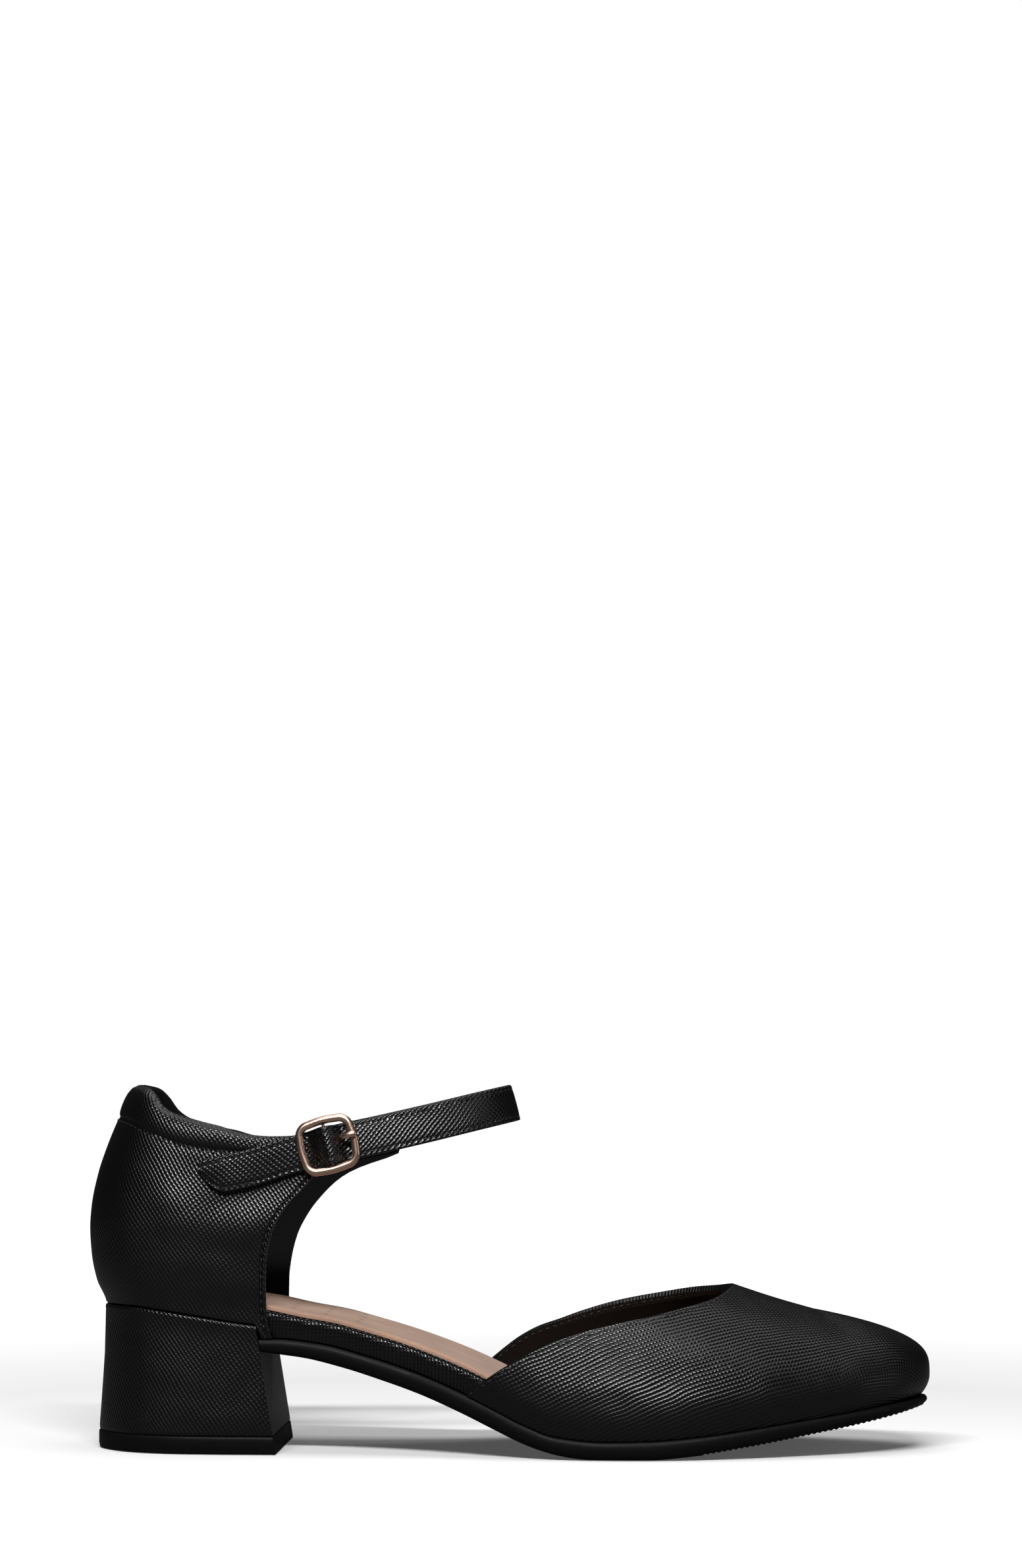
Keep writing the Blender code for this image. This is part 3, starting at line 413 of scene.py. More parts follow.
class Outline:
    """The feather outline, walked by distance from the back of the heel."""

    STEPS = 48

    def __init__(self, points):
        points = np.array(points, float)
        count = len(points)
        walk = []
        for i in range(count):
            p0, p1, p2, p3 = (points[(i + k) % count] for k in (-1, 0, 1, 2))
            for t in np.arange(self.STEPS) / self.STEPS:
                walk.append(through(p0, p1, p2, p3, t))
        walk.append(walk[0])
        self.points = np.array(walk)
        self.distance = walk_along(self.points)
        self.length = self.distance[-1]
        self.toe = self.distance[int(np.argmax(self.points[:, 0]))]

    def at(self, s):
        """Point at a distance along the whole outline."""
        return on_line(self.points, self.distance, s % self.length)

    def point(self, side, walked, out=0.0):
        """Point and outward normal at a distance walked on the side -1 or +1."""
        s = walked if side < 0 else self.length - walked
        ahead = self.at(s + 0.8) - self.at(s - 0.8)
        normal = np.array([ahead[1], -ahead[0]])
        normal /= np.linalg.norm(normal)
        return self.at(s) + normal * out, normal

    def reach(self, side):
        """Distance from the heel's back to the toe on one side."""
        return self.toe if side < 0 else self.length - self.toe

    def at_x(self, side, x):
        """Distance walked on one side to the place with this x."""
        return halve(0.0, self.reach(side),
                     lambda s: self.at(s if side < 0 else self.length - s)[0] < x, 26)


outline = Outline(OUTLINE)
tread = Curve(TREAD)
feather = Curve(FEATHER)
board_top = Curve(BOARD_TOP)
seat = Curve(SEAT)
ridge = Curve(RIDGE)
ridge_side = Curve(RIDGE_SIDE)
throat = {-1: Curve(THROAT_LATERAL), 1: Curve(THROAT_MEDIAL)}
lean_back = Curve(QUARTER_LEAN, 1)
lean_side = Curve(QUARTER_LEAN, 2)
collar_rim = {-1: Curve(COLLAR_RIM, 1), 1: Curve(COLLAR_RIM, 2)}
collar_seam = {-1: Curve(COLLAR_SEAM, 1), 1: Curve(COLLAR_SEAM, 2)}
front_edge = {-1: Curve(FRONT_LATERAL), 1: Curve(FRONT_MEDIAL)}
strap_rise = Curve(STRAP_RISE)
tail_low = Curve(TAIL_SHAPE, 1)
tail_high = Curve(TAIL_SHAPE, 2)

# Walk to the quarter's front edge by height, read once because every column needs it
FRONT_HEIGHTS = np.arange(30.0, 112.0, 0.5)
FRONT_WALK = {side: [outline.at_x(side, front_edge[side](z)) for z in FRONT_HEIGHTS]
              for side in (-1, 1)}

HEEL_BACK_X = OUTLINE[0][0]
TOE_X = float(outline.points[:, 0].max())
FRAME_OUT = GAP + STRAP_THICK + GAP + 0.5 * WIRE_DEEP
BAR_OUT = FRAME_OUT - 0.55


def blend(low, high, x):
    """Smooth step from 0 at low to 1 at high."""
    t = min(max((x - low) / (high - low), 0.0), 1.0)
    return t * t * (3 - 2 * t)


def front_walk(side, z):
    """Distance walked to the quarter's front edge at height z."""
    return float(np.interp(z, FRONT_HEIGHTS, FRONT_WALK[side]))


class Look:
    """A Principled material and the nodes that feed it."""

    def __init__(self, name, colour, roughness, metallic=0.0, specular=0.5):
        self.material = bpy.data.materials.new(name)
        self.material.use_nodes = True
        self.tree = self.material.node_tree
        self.shader = self.tree.nodes["Principled BSDF"]
        self.shader.inputs["Base Color"].default_value = (*colour, 1.0)
        self.shader.inputs["Roughness"].default_value = roughness
        self.shader.inputs["Metallic"].default_value = metallic
        self.shader.inputs["Specular IOR Level"].default_value = specular

    def node(self, kind, inputs=None, **settings):
        """New node with its settings, and its inputs linked or set."""
        made = self.tree.nodes.new(kind)
        for name, value in settings.items():
            setattr(made, name, value)
        for name, value in (inputs or {}).items():
            if isinstance(value, bpy.types.NodeSocket):
                self.tree.links.new(value, made.inputs[name])
            else:
                made.inputs[name].default_value = value
        return made

    def maths(self, operation, first, second=0.0):
        """Result of one Math node."""
        return self.node("ShaderNodeMath", {0: first, 1: second}, operation=operation).outputs[0]

    def feed(self, name, socket):
        """Links a socket to the shader's input."""
        self.tree.links.new(socket, self.shader.inputs[name])

    def raise_surface(self, height, distance):
        """Bump from a height socket that runs from 0 to 1."""
        bump = self.node("ShaderNodeBump", {"Height": height, "Distance": distance,
                                            "Strength": 1.0})
        self.feed("Normal", bump.outputs["Normal"])

    def spot(self):
        """Place on the object, as a vector socket."""
        return self.node("ShaderNodeTexCoord").outputs["Object"]

    def hide(self):
        """Place on the piece's flat hide, as a vector socket."""
        return self.node("ShaderNodeUVMap", uv_map="hide").outputs["UV"]

    def noise(self, vector, scale, detail):
        """Noise texture node over a vector socket."""
        return self.node("ShaderNodeTexNoise", {"Vector": vector, "Scale": scale,
                                                "Detail": detail})

    def mix(self, factor, first, second):
        """Colour from first to second. Each is a socket or three numbers."""
        ends = [end if isinstance(end, bpy.types.NodeSocket) else (*end, 1.0)
                for end in (first, second)]
        made = self.node("ShaderNodeMix", {"Factor": factor, "A": ends[0], "B": ends[1]},
                         data_type="RGBA")
        return made.outputs["Result"]

    def stretch(self, value, low, high, from_low=0.0, from_high=1.0):
        """The value mapped from one range to low and high, and held between them."""
        made = self.node("ShaderNodeMapRange", {"Value": value, "From Min": from_low,
                                                "From Max": from_high, "To Min": low,
                                                "To Max": high})
        return made.outputs[0]

    def turned(self, vector, degrees):
        """X and Y of a vector socket that is turned by the degrees."""
        turned = self.node("ShaderNodeMapping", {"Vector": vector,
                                                 "Rotation": (0.0, 0.0, math.radians(degrees))})
        parts = self.node("ShaderNodeSeparateXYZ", {0: turned.outputs[0]})
        return parts.outputs["X"], parts.outputs["Y"]

    def ridges(self, place, pitch, sharpness):
        """Rounded ridges with narrow grooves between them, one each pitch along place."""
        wave = self.maths("SINE", self.maths("MULTIPLY", place, math.pi / pitch))
        return self.maths("POWER", self.maths("ABSOLUTE", wave), sharpness)


def leather(name, turn, settings, cross_share=0.5):
    """Black leather pressed with fine crossed lines, turned on the piece's flat hide."""
    look = Look(name, settings.polished_crest_painted_lighter, settings.roughness, specular=0.42)
    hide = look.hide()
    drift = look.noise(hide, 70.0, 1.0)
    shift = look.node("ShaderNodeVectorMath", {0: drift.outputs["Color"], 1: (-0.5, -0.5, 0.0)},
                      operation="ADD")
    shift = look.node("ShaderNodeVectorMath", {0: shift.outputs[0], "Scale": 0.0016},
                      operation="SCALE")
    moved = look.node("ShaderNodeVectorMath", {0: hide, 1: shift.outputs[0]}, operation="ADD")
    x, y = look.turned(moved.outputs[0], turn)
    lines = look.ridges(x, settings.line_pitch, 1.0)
    cross = look.ridges(y, settings.cross_pitch, 0.8)
    # The cross lines cut the main ones into short raised beads, deeper here and there
    wear = look.noise(hide, 160.0, 2.0).outputs["Fac"]
    depth = look.stretch(wear, cross_share - 0.1, cross_share + 0.1, 0.35, 0.65)
    cut = look.maths("MULTIPLY", depth, look.maths("SUBTRACT", 1.0, cross))
    beads = look.maths("SUBTRACT", 1.0, cut)
    height = look.maths("MULTIPLY", lines, beads)
    pores = look.maths("MULTIPLY", look.noise(hide, 4200.0, 1.0).outputs["Fac"], 0.1)
    look.raise_surface(look.maths("ADD", height, pores), settings.depth)
    # The crests are polished and catch the light, and their colour is painted lighter as a painted
    # highlight. The grooves stay dull, and their colour is painted darker as painted shade
    polished_crest_painted_lighter = look.maths("POWER", height, 1.6)
    look.feed("Base Color", look.mix(polished_crest_painted_lighter, settings.groove, settings.polished_crest_painted_lighter))
    look.feed("Roughness", look.stretch(polished_crest_painted_lighter, GROOVE_ROUGHNESS, settings.roughness))
    return look.material


def lining(name, colour, settings):
    """Matt woven lining."""
    look = Look(name, colour, 0.85, specular=0.1)
    hide = look.hide()
    warp, weft = (look.ridges(place, settings.thread_pitch, 1.0)
                  for place in look.turned(hide, 45.0))
    cloth = look.maths("MAXIMUM", warp, weft)
    look.raise_surface(cloth, 0.00012)
    # The threads are painted lighter and the gaps between them darker, as painted shade between the
    # threads
    dark, light = ([share * c for c in colour] for share in (0.5, 1.5))
    look.feed("Base Color", look.mix(cloth, dark, light))
    return look.material


def suede(name, settings):
    """Brushed suede with cloudy nap and a few punched holes down its middle."""
    look = Look(name, settings.colour, 0.95, specular=0.15)
    look.shader.inputs["Sheen Weight"].default_value = 0.25
    look.shader.inputs["Sheen Roughness"].default_value = 0.5
    spot = look.spot()
    cloud = look.noise(spot, 55.0, 3.0).outputs["Fac"]
    nap = look.noise(spot, 1500.0, 3.0).outputs["Fac"]
    share = look.maths("ADD", look.maths("MULTIPLY", cloud, 0.6), look.maths("MULTIPLY", nap, 0.4))
    share = look.stretch(share, 0.0, 1.0, 0.35, 0.65)
    tan = look.mix(share, settings.colour, settings.brushed)
    # Perforations on a square pattern, only along the middle of the heel and waist. Each is painted
    # dark, as painted shade inside the hole, and dented in the bump
    across = look.node("ShaderNodeSeparateXYZ", {0: spot})
    cell = {}
    for axis in ("X", "Y"):
        part = look.maths("FRACT", look.maths("DIVIDE", across.outputs[axis], settings.hole_pitch))
        part = look.maths("ABSOLUTE", look.maths("SUBTRACT", part, 0.5))
        cell[axis] = look.maths("MULTIPLY", part, settings.hole_pitch)
    squares = [look.maths("MULTIPLY", cell[axis], cell[axis]) for axis in ("X", "Y")]
    away = look.maths("SQRT", look.maths("ADD", *squares))
    hole = look.maths("LESS_THAN", away, settings.hole_radius)
    inside = look.maths("LESS_THAN", look.maths("ABSOLUTE", across.outputs["Y"]), HOLES_WITHIN_Y)
    rear = look.maths("LESS_THAN", across.outputs["X"], HOLES_BEHIND_X)
    hole = look.maths("MULTIPLY", hole, look.maths("MULTIPLY", inside, rear))
    # The holes are painted dark, as painted shade inside them
    look.feed("Base Color", look.mix(hole, tan, HOLE_PAINTED_SHADE))
    rise = look.maths("SUBTRACT", nap, look.maths("MULTIPLY", hole, 2.0))
    look.raise_surface(rise, 0.00025)
    return look.material


def rubber(name, settings):
    """Smooth moulded rubber with a faint orange-peel surface."""
    look = Look(name, settings.colour, settings.roughness, specular=0.12)
    spot = look.spot()
    look.raise_surface(look.noise(spot, 900.0, 2.0).outputs["Fac"], 0.00005)
    scuff = look.noise(spot, 120.0, 3.0).outputs["Fac"]
    look.feed("Roughness", look.stretch(scuff, settings.roughness * 0.85,
                                        settings.roughness * 1.2))
    return look.material


def thread(name, settings):
    """Waxed thread with its twist."""
    look = Look(name, settings.colour, 0.3, specular=0.35)
    spot = look.spot()
    look.raise_surface(look.noise(spot, 5200.0, 1.0).outputs["Fac"], 0.00006)
    return look.material


def metal(name, settings):
    """Rose gold plate with a satin polish."""
    look = Look(name, settings.colour, settings.roughness, metallic=1.0)
    spot = look.spot()
    polish = look.noise(spot, 1400.0, 3.0).outputs["Fac"]
    look.feed("Roughness", look.stretch(polish, settings.roughness * 0.9,
                                        settings.roughness * 1.15))
    return look.material


def settled(points):
    """Points of the tables, in millimetres, as places in the frame."""
    return (np.asarray(points, float) - (*CENTRE, 0.0)) * MM


def make_piece(name, points, faces, looks, marks=None, flats=None, picks=None):
    """Mesh object. marks gives each face its material. flats are one or more ways to lay the
    points out on the flat hide, and picks says which of them each face uses."""
    mesh = bpy.data.meshes.new(name)
    mesh.from_pydata(settled(points).tolist(), [], faces)
    for look in looks:
        mesh.materials.append(look)
    if marks is not None:
        mesh.polygons.foreach_set("material_index", marks)
    if flats is not None:
        layer = mesh.uv_layers.new(name="hide")
        flats = np.asarray(flats, float) * MM
        for face in mesh.polygons:
            way = flats[picks[face.index] if picks else 0]
            for corner in face.loop_indices:
                layer.data[corner].uv = way[mesh.loops[corner].vertex_index]
    shape = bmesh.new()
    shape.from_mesh(mesh)
    bmesh.ops.remove_doubles(shape, verts=shape.verts, dist=MERGE)
    bmesh.ops.dissolve_degenerate(shape, edges=shape.edges, dist=MERGE)
    bmesh.ops.recalc_face_normals(shape, faces=shape.faces)
    shape.to_mesh(mesh)
    shape.free()
    mesh.shade_smooth()
    mesh.set_sharp_from_angle(angle=SHARP_ANGLE)
    made = bpy.data.objects.new(name, mesh)
    bpy.context.collection.objects.link(made)
    return made


def ring_faces(rings, size, closed=False):
    """Faces between rings of points of one size, and the two that close the ends, unless the
    last ring meets the first."""
    faces = []
    for k in range(rings if closed else rings - 1):
        this, after = k * size, (k + 1) % rings * size
        for j in range(size):
            i = (j + 1) % size
            faces.append((this + j, this + i, after + i, after + j))
    if not closed:
        faces += [tuple(range(size)), tuple(range((rings - 1) * size, rings * size))]
    return faces


def only(made):
    """Selects one object and makes it active."""
    bpy.ops.object.select_all(action="DESELECT")
    made.select_set(True)
    bpy.context.view_layer.objects.active = made


def join(first, second):
    """Joins the second object into the first."""
    only(first)
    second.select_set(True)
    bpy.ops.object.join()


def round_edges(made, width):
    """Rounds the edges that turn sharply. width is in millimetres."""
    only(made)
    step = made.modifiers.new("edges", "BEVEL")
    step.width = width * MM
    step.segments = 3
    step.limit_method = "ANGLE"
    step.angle_limit = ROUND_ANGLE
    bpy.ops.object.modifier_apply(modifier=step.name)
    made.data.shade_smooth()
    made.data.set_sharp_from_angle(angle=ROUNDED_SHARP_ANGLE)


def dress(made, slot, *nodes):
    """Gives a finished piece to the shoe, in place of the plain nodes."""
    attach(made, "root")
    if nodes:
        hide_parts(*nodes)


def wall(name, outer, inner, flat, looks, facing):
    """Closed wall between two grids of points. Its inner face is lined with the second look,
    but for the facing rows under its last row. Points that meet in outer are one."""
    found, points, inside, places, index = {}, [], [], [], []
    for outer_row, inner_row, flat_row in zip(outer, inner, flat):
        row = []
        for p, q, f in zip(outer_row, inner_row, flat_row):
            key = place_key(p)
            if key not in found:
                found[key] = len(points)
                points.append(p)
                inside.append(q)
                places.append(f)
            row.append(found[key])
        index.append(row)
    rows = len(index[0])
    faces, inner_marks, uses = [], [], {}
    for k in range(len(index) - 1):
        for j in range(rows - 1):
            face = [index[k][j], index[k][j + 1], index[k + 1][j + 1], index[k + 1][j]]
            face = [v for i, v in enumerate(face) if v != face[i - 1]]
            if len(set(face)) < 3:
                continue
            faces.append(tuple(face))
            inner_marks.append(1 if j < rows - 1 - facing else 0)
            for i, v in enumerate(face):
                pair = frozenset((v, face[i - 1]))
                uses[pair] = uses.get(pair, 0) + 1
    skin = len(points)
    linings = [tuple(v + skin for v in face) for face in faces]
    rims = [(a, b, b + skin, a + skin) for (a, b) in
            (tuple(pair) for pair, times in uses.items() if times == 1)]
    marks = [0] * len(faces) + inner_marks + [0] * len(rims)
    return make_piece(name, points + inside, faces + linings + rims, looks, marks,
                      [places + places])


def even_edge(*rows):
    """Edge rows for slab whose inset is the same all round: inset, share of height."""
    return [(inset, inset, inset, share) for inset, share in rows]


def slab_rim(side, station, low, high, edge, breast):
    """Edge of a layer at one station on one side, and the distance walked to it. breast is as
    in slab, or None away from the heel's front face."""
    walked = outline.at_x(side, station)
    here, normal = outline.point(side, walked)
    back = max(0.0, -normal[0]) ** 2
    toe = max(0.0, normal[0]) ** 2
    rim = []
    for at_side, at_back, at_toe, share in edge:
        inset = at_side + (at_back - at_side) * back + (at_toe - at_side) * toe
        x, y = here - normal * inset
        z = low(x) + (high(x) - low(x)) * share
        if breast is not None:
            x = breast_x(z) + breast
        rim.append(np.array([x, y, z]))
    return rim, walked


def slab(name, stations, low, high, edge, across, looks, breast=None):
    """Layer across the shoe at the stations in x. low and high give z at x. The rows of edge,
    from its top to its bottom, are its inset at the side, back and toe, and share of height.
    With breast, the last station follows the heel's front face at that distance before it."""
    points, side_flat, top_flat, front_flat = [], [], [], []
    half = across + 1 + (len(edge) - 2)
    ring_size = 2 * half
    shares = np.linspace(0, 1, across + 1)
    for station in stations:
        leaning = breast is not None and station == stations[-1]
        rim, walk = {}, {}
        for side in (-1, 1):
            rim[side], walk[side] = slab_rim(side, station, low, high, edge,
                                             breast if leaning else None)
        ring = [rim[-1][0] * (1 - share) + rim[1][0] * share for share in shares]
        ring += rim[1][1:-1]
        ring += [rim[-1][-1] * (1 - share) + rim[1][-1] * share for share in shares[::-1]]
        ring += rim[-1][-2:0:-1]
        for k, p in enumerate(ring):
            side = 1 if across / 2 < k < half + across / 2 else -1
            ahead = p[0] - station if leaning else 0.0
            side_flat.append((side * (walk[side] + ahead), p[2]))
            top_flat.append((p[0], p[1]))
            front_flat.append((p[1], p[2]))
        points += ring
    one_ring = [1 if j < across or half <= j < half + across else 0 for j in range(ring_size)]
    picks = one_ring * (len(stations) - 1) + [2, 2]
    return make_piece(name, points, ring_faces(len(stations), ring_size), looks, None,
                      [side_flat, top_flat, front_flat], picks)


def spread(start, stop, count, dense):
    """Places from start to stop, closer together at the dense end, first or last."""
    places = []
    for k in range(count + 1):
        turn = 0.5 * math.pi * k / count
        share = math.sin(turn) if dense == "last" else 1 - math.cos(turn)
        places.append(start + (stop - start) * share)
    return places


def breast_x(z):
    """The heel's front face at height z."""
    return BREAST_X - BREAST_SLOPE * z


def board_low(x):
    """Underside of the insole board: on the heel, then on the outsole."""
    on_heel = x < SEAT_END_X + 0.5 * SEAT_STEP
    return seat(x) + GAP if on_heel else feather(x) + GAP


def rib(side, foot, anchor_x):
    """One rib of the vamp from the feather up to the ridge: point at share w from 0 to 1,
    and its anchor and inward direction in plan."""
    start, _ = outline.point(side, foot)
    anchor = np.array([anchor_x, ridge_side(anchor_x)])
    reach = np.linalg.norm(anchor - start)
    inward = (anchor - start) / reach
    ahead = max(0.0, -inward[0])
    bulge, rise = (plain + added * ahead ** 2 for plain, added in (RIB_BULGE, RIB_RISE))
    power = RIB_POWER[0] + RIB_POWER[1] * ahead ** 4
    roof_slope = ROOF_SLOPE * ahead
    base_z = feather(start[0]) + GAP
    equator_z = base_z + rise
    top_z = ridge(anchor_x)

    def at(w):
        if w < BULGE_SHARE:
            t = w / BULGE_SHARE
            along = -bulge * (1 - (1 - t) ** 2)
            z = base_z + rise * t
        else:
            turn = 0.5 * math.pi * min((w - BULGE_SHARE) / (1 - BULGE_SHARE), 1.0)
            along = (reach + bulge) * (1 - max(math.cos(turn), 0.0) ** (2 / power)) - bulge
            roof = top_z - roof_slope * (reach - along)
            z = equator_z + (roof - equator_z) * math.sin(turn) ** (2 / power)
        x, y = start + inward * along
        return np.array([x, y, z])

    return at, anchor, inward


def vamp_ribs(side):
    """Foot distance and ridge anchor of each rib, from the throat's rear corner to the toe."""
    first_x = -12.0
    rear = (THROAT_LATERAL if side < 0 else THROAT_MEDIAL)[0][0]
    anchors = np.concatenate([np.linspace(first_x, 60.0, 52), np.linspace(61.0, APEX_X, 7),
                              np.linspace(66.4, FAN_X, 18)])
    ribs = []
    for anchor in anchors:
        share = (anchor - first_x) / (FAN_X - first_x)
        foot_x = anchor + 7.0 * share ** 2 + (rear - first_x) * max(0.0, 1 - 2 * share)
        ribs.append((outline.at_x(side, foot_x), anchor))
    last = ribs[-1][0]
    fan = 30
    for k in range(1, fan + 1):
        ribs.append((last + (outline.reach(side) - last) * k / fan, FAN_X))
    return ribs


def throat_share(side, at, anchor_x):
    """Share of a rib where it meets the throat line."""
    if anchor_x >= APEX_X:
        return 1.0
    return halve(0.0, 1.0, lambda w: at(w)[2] < throat[side](at(w)[0]), 30)


def even_rows(at, top, rows):
    """Points of a rib up to share top, spaced evenly along it, and their distances from its
    upper end at share 1."""
    shares = np.linspace(0.0, 1.0, 240)
    fine = [at(w) for w in shares]
    walked = walk_along(fine)
    stop = np.interp(top, shares, walked)
    places = np.linspace(0.0, stop, rows + 1)
    return [on_line(fine, walked, s) for s in places], [walked[-1] - s for s in places]


def inward_grid(grid, thick):
    """The grid moved in by the wall, along normals averaged where points meet."""
    sums = {}
    for k in range(len(grid) - 1):
        for j in range(len(grid[0]) - 1):
            a, b, c, d = grid[k][j], grid[k][j + 1], grid[k + 1][j + 1], grid[k + 1][j]
            normal = np.cross(c - a, d - b)
            for p in (a, b, c, d):
                sums[place_key(p)] = sums.get(place_key(p), np.zeros(3)) + normal
    moved = []
    for row in grid:
        line = []
        for p in row:
            normal = sums[place_key(p)]
            line.append(p + normal / np.linalg.norm(normal) * thick)
        moved.append(line)
    return moved


def vamp_grid():
    """Outer points of the vamp from rib to rib, and their places on the flat hide."""
    rows = 44
    grid, flat = {}, {}
    for side in (-1, 1):
        grid[side], flat[side] = [], []
        for foot, anchor_x in vamp_ribs(side):
            at, anchor, inward = rib(side, foot, anchor_x)
            points, away = even_rows(at, throat_share(side, at, anchor_x), rows)
            for p in points:
                p[:2] -= inward * swell(VAMP_FORM, side, p[0], p[2])
            grid[side].append(points)
            flat[side].append([anchor - inward * distance for distance in away])
    return grid[-1] + grid[1][-2::-1], flat[-1] + flat[1][-2::-1]


def quarter_point(side, walked, z, out=0.0):
    """Outer face of the quarter at a distance walked from the back, at height z."""
    here, normal = outline.point(side, walked)
    back = max(0.0, -normal[0]) ** 2
    lean = lean_side(z) + (lean_back(z) - lean_side(z)) * back
    x, y = here + normal * (lean + out)
    return np.array([x, y, z])


def quarter_base(x):
    """Lower edge of the quarter: on the heel, then down to the outsole in front of it."""
    drop = min(max((x - SEAT_END_X) / SEAT_STEP, 0.0), 1.0)
    return (seat(x) + GAP) * (1 - drop) + (feather(x) + GAP) * drop


def swell(forms, side, x, z):
    """Soft hollows and swells of the worked leather."""
    out = 0.0
    for form_side, form_x, form_z, long, wide, turn, depth in forms:
        if form_side != side:
            continue
        c, s = math.cos(math.radians(turn)), math.sin(math.radians(turn))
        a = ((x - form_x) * c + (z - form_z) * s) / long
        b = ((z - form_z) * c - (x - form_x) * s) / wide
        out += depth * math.exp(-a * a - b * b)
    return out


def level(side, share, height, low=32.8, high=112.0):
    """Height where the column at this share of the way to the front edge meets height(x)."""
    return halve(low, high,
                 lambda z: z < height(quarter_point(side, share * front_walk(side, z), z)[0]), 24)


def quarter_columns():
    """Side and share of the way to the front edge for each column, from the outer front edge
    round the back to the inner one."""
    round_columns = 56
    columns = []
    for side in (-1, 1):
        front = outline.at_x(side, front_edge[side](33.0))
        stations = (-72.8, SEAT_END_X - 0.02, SEAT_END_X + SEAT_STEP + 0.02, -70.6, -69.6)
        last = [outline.at_x(side, x) / front for x in stations]
        shares = [k / round_columns * last[0] for k in range(round_columns + 1)]
        shares += last[1:] + [1.0 - d / front for d in (1.9, 1.65, 1.45, 1.3, 1.15, 0.95, 0.7, 0.3)]
        shares.append(1.0)
        columns.append([(side, share) for share in shares])
    return columns[0][::-1] + columns[1][1:]


def quarter_grids():
    """Outer and inner points of the quarter, and their places on the flat hide."""
    body_rows = 42
    bands = (0.04, 0.1, 0.18, 0.28, 0.4, 0.52, 0.64, 0.75, 0.84, 0.91, 0.96, 0.99, 1.0)
    outer, inner, flat = [], [], []
    for side, share in quarter_columns():
        base = level(side, share, quarter_base)
        seam = level(side, share, collar_seam[side], 50.0)
        rim = level(side, share, collar_rim[side], 60.0)
        places = [(base + (seam - base) * j / body_rows, 0.0) for j in range(body_rows + 1)]
        places += [(seam + (rim - seam) * t, t) for t in bands]
        outer_row, inner_row, flat_row = [], [], []
        for z, band in places:
            walked = share * front_walk(side, z)
            x = quarter_point(side, walked, z)[0]
            padded = 1.0 - blend(-76.0, -60.0, x)
            thick = UPPER_WALL + (COLLAR_WALL - UPPER_WALL) * padded * blend(0.0, 0.4, band)
            puff = 0.75 * math.sin(math.pi * band) ** 0.7 if 0 < band < 1 else 0.0
            puff *= 1.0 - 0.8 * blend(-88.0, -76.0, x)
            groove = SEAM_GROOVE[0] * math.exp(-((z - seam) / SEAM_GROOVE[1]) ** 2)
            rounded = (0.4 * blend(0.7, 0.93, band) + 1.1 * blend(0.9, 1.0, band)) * padded
            rounded += 0.35 * blend(0.9, 1.0, band) * (1.0 - padded)
            form = swell(QUARTER_FORM, side, x, z)
            beside = (1.0 - share) * front_walk(side, z) - FRONT_STITCH_IN
            groove += FRONT_GROOVE[0] * math.exp(-(beside / FRONT_GROOVE[1]) ** 2)
            outer_row.append(quarter_point(side, walked, z, puff + form - rounded - groove))
            inner_row.append(quarter_point(side, walked, z, rounded - thick))
            flat_row.append((side * walked, z))
        outer.append(outer_row)
        inner.append(inner_row)
        flat.append(flat_row)
    return outer, inner, flat


def beside_quarter(side, x, z, out):
    """y at a distance out from the quarter's outer face."""
    here, _ = outline.point(side, outline.at_x(side, x))
    return here[1] + side * (lean_side(z) + out)


def strap_path():
    """Middle line of the strap as x, y from the tail on the outer side to its inner end."""
    start_y = STRAP_LOOP[0][1]
    tail = (0.0, 0.15, 0.4, 0.8, 1.3, 1.9, 2.6, 3.4, 4.3, 5.3, 6.5, 8.0, 10.0)
    line = [(TAIL_X + d, start_y) for d in tail]
    line += [(x, start_y) for x in np.arange(-77.2, -62.5, 1.2)]
    points = np.array(STRAP_LOOP)
    walk = []
    for i in range(len(points) - 1):
        p1, p2 = points[i], points[i + 1]
        p0 = points[i - 1] if i else 2 * p1 - p2
        p3 = points[i + 2] if i + 2 < len(points) else 2 * p2 - p1
        steps = 16 if i < 2 else 10
        for t in np.arange(steps) / steps:
            walk.append(through(p0, p1, p2, p3, t))
    line += [tuple(p) for p in walk if p[1] < 0 or p[0] > INNER_END_X]
    line.append((INNER_END_X, STRAP_LOOP[-1][1]))
    return line


def buckle_hump(x):
    """How far the strap stands out where it passes over the buckle's bar."""
    along = (x - BUCKLE_X) / math.cos(STRAP_RAKE)
    if abs(along) > HUMP_HALF:
        return 0.0
    return HUMP_RISE * math.cos(0.5 * math.pi * along / HUMP_HALF) ** 2


def strap_point(x, y, v):
    """Point of the strap's middle layer, v across its width."""
    px = x - math.sin(STRAP_RAKE) * v
    z = strap_rise(x) + math.cos(STRAP_RAKE) * v
    side = -1 if y < 0 else 1
    loop_y = y - side * STRAP_LEAN * v * min(1.0, abs(y) / 15.0)
    middle = 0.5 * STRAP_THICK + GAP
    if side < 0:
        free = blend(-58.0, -50.0, x)
        held_y = beside_quarter(-1, px, z, middle)
    else:
        free = blend(-36.0, -28.0, x)
        held_y = beside_quarter(1, px, z, -UPPER_WALL - middle)
    return np.array([px, held_y * (1 - free) + loop_y * free, z])


def strap_width(x, y):
    """Lower and upper edge of the strap at its middle line's point."""
    if y < 0 and x < TAIL_X + TAIL_SHAPE[-1][0]:
        return tail_low(x - TAIL_X), tail_high(x - TAIL_X)
    return -0.5 * STRAP_WIDTH, 0.5 * STRAP_WIDTH


